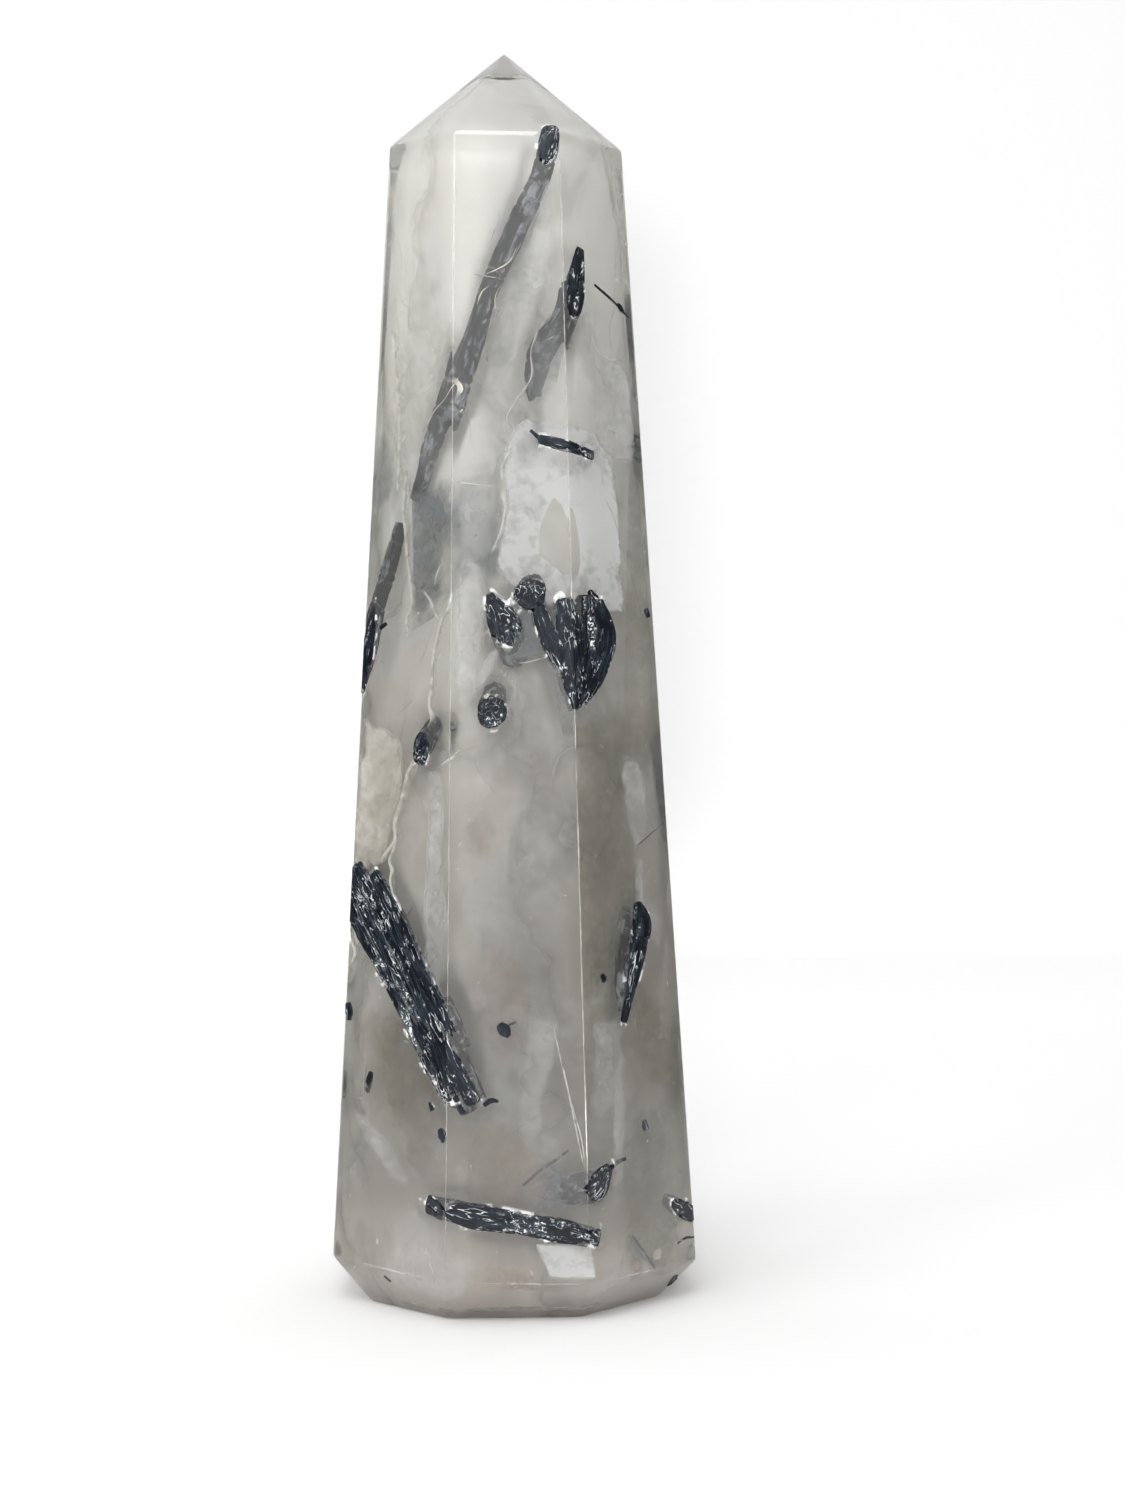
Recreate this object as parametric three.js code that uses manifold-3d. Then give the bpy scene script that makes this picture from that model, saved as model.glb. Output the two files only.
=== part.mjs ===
// A cut and polished quartz tower with black tourmaline crystals grown through it.
// The stone has eight tapering faces, a point of eight facets and a bevelled foot.
// The crystals that reach its surface are cut flush with the faces, and each lies in a pocket of its own.
// Millimetres, +Z up. The origin is the middle of the flat base, and the front face looks along -Y.
import * as THREE from "three";
import Module from "manifold-3d";

// Driving dimensions of the stone
const HEIGHT = 120;
const FACES = 8;
const BEVEL_TOP = 3.95;
const SHOULDER = 109.4;
// The hand-cut edges aren't quite level: each rises by this share of the way towards +X.
const BEVEL_TILT = -0.0275;
const SHOULDER_TILT = -0.014;
// Distance from the upright axis to a face, at the top of the bevel, at the shoulder and on the base
const SQUARE_FACE = { bevelTop: 17.2, shoulder: 11.1, base: 13.6 };
const DIAGONAL_FACE = { bevelTop: 16.8, shoulder: 11.3, base: 13.9 };

// Driving dimensions of the crystals
const GAP = 0.3;
const RIDGES = 5;
const RIDGE_HEIGHT = 0.09;
// A rod that meets its face more squarely than this (a cosine) goes into the stone instead of lying along it.
const STEEP = 0.8;

// The faces, counted from the front by way of the right
const FRONT = 0;
const FRONT_RIGHT = 1;
const RIGHT = 2;
const BACK_RIGHT = 3;
const BACK = 4;
const BACK_LEFT = 5;
const LEFT = 6;
const FRONT_LEFT = 7;

// Each rod is a list of stations: face, way across it, height, depth under it, half width and half thickness.
// A crystal that has several rods grew as one, and its rods are joined.
const CRYSTALS = {
  tourmaline_long_rod: [[
    [FRONT, 4.15, 110.0, 0.0, 0.55, 0.55],
    [FRONT, 3.75, 107.9, 0.35, 0.75, 0.7],
    [FRONT, 3.1, 105.2, 1.4, 0.95, 0.9],
    [FRONT, 1.2, 101.3, 2.1, 1.25, 1.1],
    [FRONT, -1.5, 95.2, 2.3, 1.1, 1.0],
    [FRONT, -4.6, 85.6, 2.5, 1.2, 1.1],
    [FRONT_LEFT, 1.8, 80.9, 2.2, 1.05, 1.0],
    [FRONT_LEFT, -0.3, 75.4, 2.1, 0.8, 0.8],
  ]],
  tourmaline_left_rod: [[
    [FRONT_LEFT, -2.7, 73.2, 2.7, 0.7, 0.7],
    [FRONT_LEFT, -3.4, 69.6, 1.8, 0.95, 0.9],
    [FRONT_LEFT, -4.6, 65.4, 1.0, 1.0, 0.95],
    [FRONT_LEFT, -5.3, 61.4, 0.5, 0.95, 0.9],
    [FRONT_LEFT, -6.1, 57.6, 0.1, 0.5, 0.5],
  ]],
  tourmaline_right_rod: [[
    [FRONT_RIGHT, -2.3, 98.6, -0.1, 0.35, 0.35],
    [FRONT_RIGHT, -2.9, 96.6, 0.25, 0.8, 0.7],
    [FRONT_RIGHT, -3.4, 94.2, 0.45, 1.0, 0.9],
    [FRONT_RIGHT, -3.9, 91.8, 1.3, 1.1, 1.0],
    [FRONT, 3.3, 89.4, 3.1, 1.25, 1.15],
    [FRONT, 2.3, 86.3, 4.3, 1.2, 1.1],
    [FRONT, 2.0, 82.2, 5.0, 0.9, 0.9],
  ]],
  tourmaline_upper_bar: [[
    [FRONT, 2.7, 80.5, 0.1, 0.4, 0.45],
    [FRONT, 4.2, 80.1, 0.5, 0.55, 0.8],
    [FRONT_RIGHT, -4.3, 79.75, 0.55, 0.55, 0.85],
    [FRONT_RIGHT, -1.8, 79.3, 0.15, 0.45, 0.5],
  ]],
  tourmaline_teardrop_stub: [[
    [FRONT, -2.0, 66.2, -0.1, 0.35, 0.35],
    [FRONT, -1.5, 65.0, 0.3, 0.95, 0.9],
    [FRONT, -0.6, 63.4, 0.7, 1.6, 1.6],
    [FRONT, -0.1, 62.0, 1.6, 1.55, 1.5],
    [FRONT, 0.3, 60.4, 3.6, 1.2, 1.2],
  ]],
  tourmaline_cluster: [
    [
      [FRONT, 1.6, 66.0, -0.6, 1.4, 1.3],
      [FRONT, 1.8, 66.6, 1.6, 1.4, 1.3],
      [FRONT, 2.2, 67.6, 4.8, 1.1, 1.1],
    ],
    [
      [FRONT, 4.7, 65.6, 0.7, 0.9, 1.2],
      [FRONT, 5.3, 62.0, 0.8, 1.3, 1.5],
      [FRONT_RIGHT, -5.6, 58.4, 0.9, 1.0, 1.3],
      [FRONT_RIGHT, -5.7, 55.6, 0.5, 0.45, 0.6],
    ],
    [
      [FRONT_RIGHT, -3.5, 66.0, 0.6, 1.0, 1.3],
      [FRONT_RIGHT, -3.5, 62.2, 0.9, 1.35, 1.6],
      [FRONT_RIGHT, -4.4, 58.3, 0.9, 1.1, 1.3],
      [FRONT_RIGHT, -5.3, 55.9, 0.6, 0.5, 0.6],
    ],
    [
      [FRONT_RIGHT, -2.1, 65.6, 0.5, 0.9, 1.1],
      [FRONT_RIGHT, -1.2, 62.8, 0.8, 1.5, 1.5],
      [FRONT_RIGHT, -2.5, 58.9, 0.8, 1.2, 1.2],
      [FRONT_RIGHT, -4.5, 56.3, 0.5, 0.5, 0.6],
    ],
    [
      [FRONT, 2.2, 66.2, 0.9, 0.7, 0.8],
      [FRONT, 3.0, 63.4, 0.8, 1.05, 1.1],
      [FRONT, 4.2, 60.2, 0.8, 0.9, 1.0],
      [FRONT, 5.0, 58.2, 1.1, 0.5, 0.6],
    ],
  ],
  tourmaline_small_stub: [[
    [FRONT, -2.0, 55.1, -0.6, 1.3, 1.35],
    [FRONT, -1.8, 56.0, 1.6, 1.3, 1.35],
    [FRONT, -1.5, 57.4, 4.6, 1.0, 1.0],
  ]],
  tourmaline_edge_stub: [[
    [FRONT_LEFT, 2.3, 51.6, -0.5, 0.95, 1.3],
    [FRONT_LEFT, 2.4, 52.8, 1.2, 0.95, 1.3],
    [FRONT_LEFT, 2.5, 54.4, 3.6, 0.7, 0.9],
  ]],
  tourmaline_bundle: [
    [
      [FRONT_LEFT, -7.4, 37.9, 0.6, 0.85, 1.3],
      [FRONT_LEFT, -4.4, 34.2, 1.2, 0.95, 1.9],
      [FRONT_LEFT, -0.1, 29.2, 1.4, 0.95, 2.0],
      [FRONT_LEFT, 5.7, 22.0, 1.3, 0.9, 1.9],
      [FRONT, -5.1, 19.9, 1.0, 0.65, 1.2],
    ],
    [
      [FRONT_LEFT, -7.2, 40.0, 0.6, 0.85, 1.3],
      [FRONT_LEFT, -3.4, 35.4, 1.2, 0.95, 1.9],
      [FRONT_LEFT, 0.9, 29.9, 1.4, 0.95, 2.0],
      [FRONT_LEFT, 5.9, 23.6, 1.3, 0.9, 1.9],
      [FRONT, -4.3, 19.2, 0.9, 0.6, 1.1],
    ],
    [
      [FRONT_LEFT, -6.2, 41.0, 0.6, 0.85, 1.3],
      [FRONT_LEFT, -2.2, 36.5, 1.0, 1.0, 1.9],
      [FRONT_LEFT, 2.1, 30.6, 1.0, 1.0, 2.0],
      [FRONT_LEFT, 6.2, 25.1, 1.1, 0.95, 1.9],
      [FRONT, -3.6, 20.2, 0.7, 0.75, 1.3],
    ],
    [
      [FRONT_LEFT, -3.6, 40.4, 0.6, 0.75, 1.1],
      [FRONT_LEFT, -1.0, 37.2, 0.8, 0.95, 1.5],
      [FRONT_LEFT, 3.3, 31.4, 0.8, 0.95, 1.5],
      [FRONT, -6.0, 27.7, 1.2, 0.9, 1.4],
      [FRONT, -4.6, 25.0, 1.2, 0.6, 0.9],
    ],
  ],
  tourmaline_blade: [
    [
      [FRONT_RIGHT, 1.5, 37.5, 0.1, 0.5, 0.6],
      [FRONT_RIGHT, 2.0, 35.6, 0.4, 1.35, 1.2],
      [FRONT_RIGHT, 1.3, 33.2, 0.6, 1.2, 1.2],
      [FRONT_RIGHT, 0.1, 30.2, 0.5, 0.9, 1.0],
      [FRONT_RIGHT, -1.2, 26.8, 0.1, 0.35, 0.4],
    ],
    [
      [FRONT_RIGHT, 0.6, 37.2, 1.6, 0.6, 0.6],
      [FRONT_RIGHT, 0.0, 34.4, 1.5, 0.95, 1.0],
      [FRONT_RIGHT, -0.6, 30.6, 1.1, 0.9, 1.0],
      [FRONT_RIGHT, -1.2, 27.8, 0.6, 0.4, 0.5],
    ],
  ],
  tourmaline_base_bar: [[
    [FRONT_LEFT, 4.9, 10.8, 0.3, 0.85, 0.9],
    [FRONT, -4.7, 10.1, 0.5, 1.1, 1.2],
    [FRONT, 1.2, 9.05, 0.7, 1.1, 1.45],
    [FRONT, 5.0, 8.3, 0.6, 1.05, 1.3],
    [FRONT_RIGHT, -6.0, 7.6, 0.3, 0.85, 0.9],
  ]],
  tourmaline_wedge: [[
    [FRONT_RIGHT, -4.2, 13.8, 0.1, 0.55, 0.5],
    [FRONT_RIGHT, -5.7, 12.4, 0.6, 1.5, 1.4],
    [FRONT, 5.0, 12.0, 1.8, 1.3, 1.2],
    [FRONT, 3.0, 11.7, 3.2, 0.9, 0.9],
    [FRONT, 1.3, 11.5, 4.2, 0.5, 0.5],
  ]],
  tourmaline_corner_stub: [[
    [FRONT_RIGHT, 3.7, 9.7, 0.9, 0.55, 0.55],
    [FRONT_RIGHT, 5.2, 8.9, 0.55, 0.85, 0.85],
    [RIGHT, -6.3, 7.9, 0.5, 0.85, 0.85],
    [RIGHT, -5.0, 7.3, 0.2, 0.5, 0.5],
  ]],
  tourmaline_right_rod_low: [[
    [RIGHT, -1.6, 52.6, 0.0, 0.5, 0.5],
    [RIGHT, -0.9, 50.2, 0.4, 1.0, 0.95],
    [RIGHT, 0.6, 45.4, 0.9, 1.15, 1.1],
    [RIGHT, 2.4, 40.0, 1.9, 0.8, 0.8],
  ]],
  tourmaline_right_stub: [[
    [RIGHT, 0.8, 79.4, -0.5, 1.2, 1.15],
    [RIGHT, 0.6, 80.6, 1.6, 1.2, 1.15],
    [RIGHT, 0.3, 82.2, 4.2, 0.9, 0.9],
  ]],
  tourmaline_back_right_blade: [[
    [BACK_RIGHT, 2.2, 27.2, 0.1, 0.5, 0.5],
    [BACK_RIGHT, 1.4, 24.6, 0.4, 1.2, 1.1],
    [BACK_RIGHT, 0.2, 21.2, 0.6, 1.25, 1.2],
    [BACK_RIGHT, -1.4, 17.0, 0.2, 0.5, 0.5],
  ]],
  tourmaline_back_rod: [[
    [BACK, -2.9, 97.2, 0.0, 0.5, 0.5],
    [BACK, -2.4, 94.4, 0.4, 1.0, 0.9],
    [BACK, -1.0, 87.0, 1.2, 1.3, 1.2],
    [BACK, 0.6, 78.6, 1.8, 1.2, 1.1],
    [BACK, 2.0, 71.0, 2.6, 0.8, 0.8],
  ]],
  tourmaline_back_stub: [[
    [BACK, -1.8, 57.6, -0.6, 1.4, 1.3],
    [BACK, -1.6, 58.6, 1.6, 1.4, 1.3],
    [BACK, -1.2, 60.0, 4.6, 1.0, 1.0],
  ]],
  tourmaline_back_bundle: [
    [
      [BACK, 6.4, 45.0, 0.6, 0.8, 1.1],
      [BACK, 3.6, 42.0, 0.8, 1.05, 1.5],
      [BACK, 0.4, 38.6, 0.9, 1.0, 1.4],
      [BACK, -1.7, 36.4, 0.6, 0.6, 0.8],
    ],
    [
      [BACK, 5.6, 42.0, 0.7, 0.8, 1.1],
      [BACK, 3.0, 39.4, 0.8, 1.05, 1.5],
      [BACK, 0.4, 36.6, 0.8, 0.9, 1.2],
      [BACK, -1.2, 34.9, 0.5, 0.5, 0.7],
    ],
  ],
  tourmaline_back_left_bar: [[
    [BACK_LEFT, -3.4, 67.6, 0.1, 0.5, 0.6],
    [BACK_LEFT, -1.6, 66.7, 0.4, 0.9, 0.9],
    [BACK_LEFT, 1.6, 65.0, 0.5, 0.9, 0.9],
    [BACK_LEFT, 3.6, 64.0, 0.1, 0.5, 0.5],
  ]],
  tourmaline_left_stub: [[
    [LEFT, -1.4, 17.8, -0.5, 1.3, 1.2],
    [LEFT, -1.2, 19.0, 1.6, 1.3, 1.2],
    [LEFT, -0.8, 20.6, 4.4, 0.9, 0.9],
  ]],
};

const QUARTZ = { color: 0xcac7be, roughness: 0.12, metalness: 0, transparent: true, opacity: 0.6 };
const TOURMALINE = { color: 0x12151d, roughness: 0.3, metalness: 0 };

const wasm = await Module();
wasm.setup();

const FACE_TURN = (2 * Math.PI) / FACES;
const FACE_NUMBERS = Array.from({ length: FACES }, (_, face) => face);

// Level direction out of a face
function outward(face) {
  return new THREE.Vector3(Math.sin(FACE_TURN * face), -Math.cos(FACE_TURN * face), 0);
}

// Level direction across a face, towards the next one
function sideways(face) {
  return new THREE.Vector3(Math.cos(FACE_TURN * face), Math.sin(FACE_TURN * face), 0);
}

function faceSize(face) {
  return face % 2 ? DIAGONAL_FACE : SQUARE_FACE;
}

// Distance from the axis to a side face at a height
function faceDistance(face, height) {
  const { bevelTop, shoulder } = faceSize(face);
  return THREE.MathUtils.mapLinear(height, BEVEL_TOP, SHOULDER, bevelTop, shoulder);
}

// A place given by a face, the way across it, the height and the depth under it
function place(face, across, height, depth) {
  const point = outward(face).multiplyScalar(faceDistance(face, height) - depth);
  return point.addScaledVector(sideways(face), across).setZ(height);
}

// The point at a height on the edge between a face and the next one
function edgePoint(face, height) {
  const here = faceDistance(face, height);
  const next = faceDistance(face + 1, height);
  return place(face, (next - here * Math.cos(FACE_TURN)) / Math.sin(FACE_TURN), height, 0);
}

// A ring of points on the upright edges, whose height changes by a share of their X
function edgeRing(level, tilt) {
  return FACE_NUMBERS.map((face) => {
    const first = edgePoint(face, level);
    const second = edgePoint(face, level + tilt * first.x);
    return edgePoint(face, level + tilt * second.x);
  });
}

// The point on the base where the bevels of a face and the next one meet
function baseCorner(bevels, face) {
  const [a, b] = [bevels[face], bevels[(face + 1) % FACES]];
  const area = a.normal.x * b.normal.y - a.normal.y * b.normal.x;
  const x = (b.constant * a.normal.y - a.constant * b.normal.y) / area;
  const y = (a.constant * b.normal.x - b.constant * a.normal.x) / area;
  return new THREE.Vector3(x, y, 0);
}

// The outline of the base, where the bevel planes cut the ground
function baseRing(bevelRing) {
  const bevels = FACE_NUMBERS.map((face) => {
    const before = bevelRing[(face + FACES - 1) % FACES];
    const foot = outward(face).multiplyScalar(faceSize(face).base);
    return new THREE.Plane().setFromCoplanarPoints(before, bevelRing[face], foot);
  });
  return FACE_NUMBERS.map((face) => baseCorner(bevels, face));
}

// A closed skin over rings that run anticlockwise about the way from the first to the last
function loft(rings, firstEnd, lastEnd) {
  const size = rings[0].length;
  const firstCentre = rings.length * size;
  const index = [];
  for (let k = 0; k < size; k += 1) {
    const next = (k + 1) % size;
    index.push(firstCentre, next, k);
    for (let start = 0; start < firstCentre - size; start += size) {
      index.push(start + k, start + next, start + size + next);
      index.push(start + k, start + size + next, start + size + k);
    }
    index.push(firstCentre + 1, firstCentre - size + k, firstCentre - size + next);
  }
  const points = [...rings.flat(), firstEnd, lastEnd];
  return new THREE.BufferGeometry().setFromPoints(points).setIndex(index);
}

function solidOf(geometry) {
  const vertProperties = geometry.getAttribute("position").array;
  const triVerts = new Uint32Array(geometry.index.array);
  return new wasm.Manifold(new wasm.Mesh({ numProp: 3, vertProperties, triVerts }));
}

function meshOf(name, solid, finish) {
  const { numProp, vertProperties, triVerts } = solid.getMesh();
  const geometry = new THREE.BufferGeometry();
  const vertices = new THREE.InterleavedBuffer(vertProperties, numProp);
  geometry.setAttribute("position", new THREE.InterleavedBufferAttribute(vertices, 3, 0));
  geometry.setIndex(new THREE.BufferAttribute(triVerts, 1));
  const mesh = new THREE.Mesh(geometry, new THREE.MeshStandardMaterial({ ...finish, flatShading: true }));
  mesh.name = name;
  return mesh;
}

// The whole stone: base, bevel, tapering faces and point
function stoneSolid() {
  const bevelRing = edgeRing(BEVEL_TOP, BEVEL_TILT);
  const rings = [baseRing(bevelRing), bevelRing, edgeRing(SHOULDER, SHOULDER_TILT)];
  return solidOf(loft(rings, new THREE.Vector3(), new THREE.Vector3(0, 0, HEIGHT)));
}

// The way that a rod runs at one of its stations
function direction(points, i) {
  const before = points[Math.max(i - 1, 0)];
  const after = points[Math.min(i + 1, points.length - 1)];
  return after.clone().sub(before).normalize();
}

// A ridged section across a rod, wide along the face that it lies in
function rodSection(centre, along, reference, halfWidth, halfThickness) {
  const wide = reference.clone().cross(along).normalize();
  const thick = along.clone().cross(wide);
  return Array.from({ length: 2 * RIDGES }, (_, k) => {
    const turn = (Math.PI * k) / RIDGES;
    const reach = 1 + (k % 2 ? -RIDGE_HEIGHT : RIDGE_HEIGHT);
    const point = centre.clone().addScaledVector(wide, reach * halfWidth * Math.cos(turn));
    return point.addScaledVector(thick, reach * halfThickness * Math.sin(turn));
  });
}

// The direction of a rod's thickness: out of the faces it lies in, or upwards where it goes in
function thicknessReference(stations, points) {
  const out = new THREE.Vector3();
  stations.forEach(([face]) => out.add(outward(face)));
  out.normalize();
  const way = points.at(-1).clone().sub(points[0]).normalize();
  return Math.abs(way.dot(out)) > STEEP ? new THREE.Vector3(0, 0, 1) : out;
}

// One rod of a crystal, made larger all round by a margin
function rodSolid(stations, margin) {
  const points = stations.map(([face, across, height, depth]) => place(face, across, height, depth));
  const reference = thicknessReference(stations, points);
  const ways = points.map((_, i) => direction(points, i));
  points[0].addScaledVector(ways[0], -margin);
  points.at(-1).addScaledVector(ways.at(-1), margin);
  const rings = stations.map(([, , , , halfWidth, halfThickness], i) =>
    rodSection(points[i], ways[i], reference, halfWidth + margin, halfThickness + margin),
  );
  return solidOf(loft(rings, points[0], points.at(-1)));
}

function crystalSolid(rods, margin) {
  return rods.map((stations) => rodSolid(stations, margin)).reduce((a, b) => a.add(b));
}

// The largest body of a cut solid, without the crumbs that a cut can leave free
function mainBody(solid) {
  return solid.decompose().reduce((a, b) => (a.volume() > b.volume() ? a : b));
}

// The stone with a pocket for each crystal, and the crystals cut flush with its faces
function buildTower() {
  const tower = new THREE.Group();
  const whole = stoneSolid();
  const pockets = Object.values(CRYSTALS).map((rods) => crystalSolid(rods, GAP));
  const stone = pockets.reduce((left, pocket) => left.subtract(pocket), whole);
  tower.add(meshOf("quartz_obelisk", mainBody(stone), QUARTZ));
  Object.entries(CRYSTALS).forEach(([name, rods]) => {
    tower.add(meshOf(name, mainBody(crystalSolid(rods, 0).intersect(whole)), TOURMALINE));
  });
  return tower;
}

export default buildTower();
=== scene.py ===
"""A cut tower of milky quartz with black tourmaline grown through it, dressed for its photograph.

Every shape is a numpy surface in metres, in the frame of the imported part: +Z up, the front face towards -Y.
A place on the stone is given by a face, the way across it, the height and the depth under it, in millimetres.
"""
import math

import bpy
import numpy as np
from mathutils import Matrix, Vector


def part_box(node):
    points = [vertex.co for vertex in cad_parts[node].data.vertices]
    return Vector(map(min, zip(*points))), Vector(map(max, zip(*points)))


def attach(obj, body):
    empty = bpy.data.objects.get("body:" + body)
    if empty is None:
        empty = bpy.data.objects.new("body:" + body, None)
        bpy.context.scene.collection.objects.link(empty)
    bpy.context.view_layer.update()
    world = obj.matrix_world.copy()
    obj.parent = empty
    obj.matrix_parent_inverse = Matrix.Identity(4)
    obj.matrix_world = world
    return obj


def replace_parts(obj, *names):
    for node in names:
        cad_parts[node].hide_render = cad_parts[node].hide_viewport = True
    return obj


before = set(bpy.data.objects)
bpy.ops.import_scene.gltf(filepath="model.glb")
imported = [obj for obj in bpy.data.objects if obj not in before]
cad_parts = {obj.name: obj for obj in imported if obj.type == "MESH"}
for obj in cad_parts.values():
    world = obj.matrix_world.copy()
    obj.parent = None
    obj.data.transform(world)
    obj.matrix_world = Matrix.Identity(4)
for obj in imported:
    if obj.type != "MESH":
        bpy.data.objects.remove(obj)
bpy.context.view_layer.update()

# The stone, in millimetres of the model: MM turns them into metres of the frame
HEIGHT = 120.0
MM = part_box("quartz_obelisk")[1].z / HEIGHT
FACES = 8
BEVEL_TOP, SHOULDER = 3.95, 109.4
BEVEL_TILT, SHOULDER_TILT = -0.0275, -0.014
SQUARE_FACE = {"bevel_top": 17.2, "shoulder": 11.1, "base": 13.6}
DIAGONAL_FACE = {"bevel_top": 16.8, "shoulder": 11.3, "base": 13.9}
EDGE_ROUNDING = 0.13
STONE_INSET = 0.03

FRONT, FRONT_RIGHT, RIGHT, BACK_RIGHT, BACK, BACK_LEFT, LEFT, FRONT_LEFT = range(FACES)
FACE_TURN = 2 * math.pi / FACES

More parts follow.
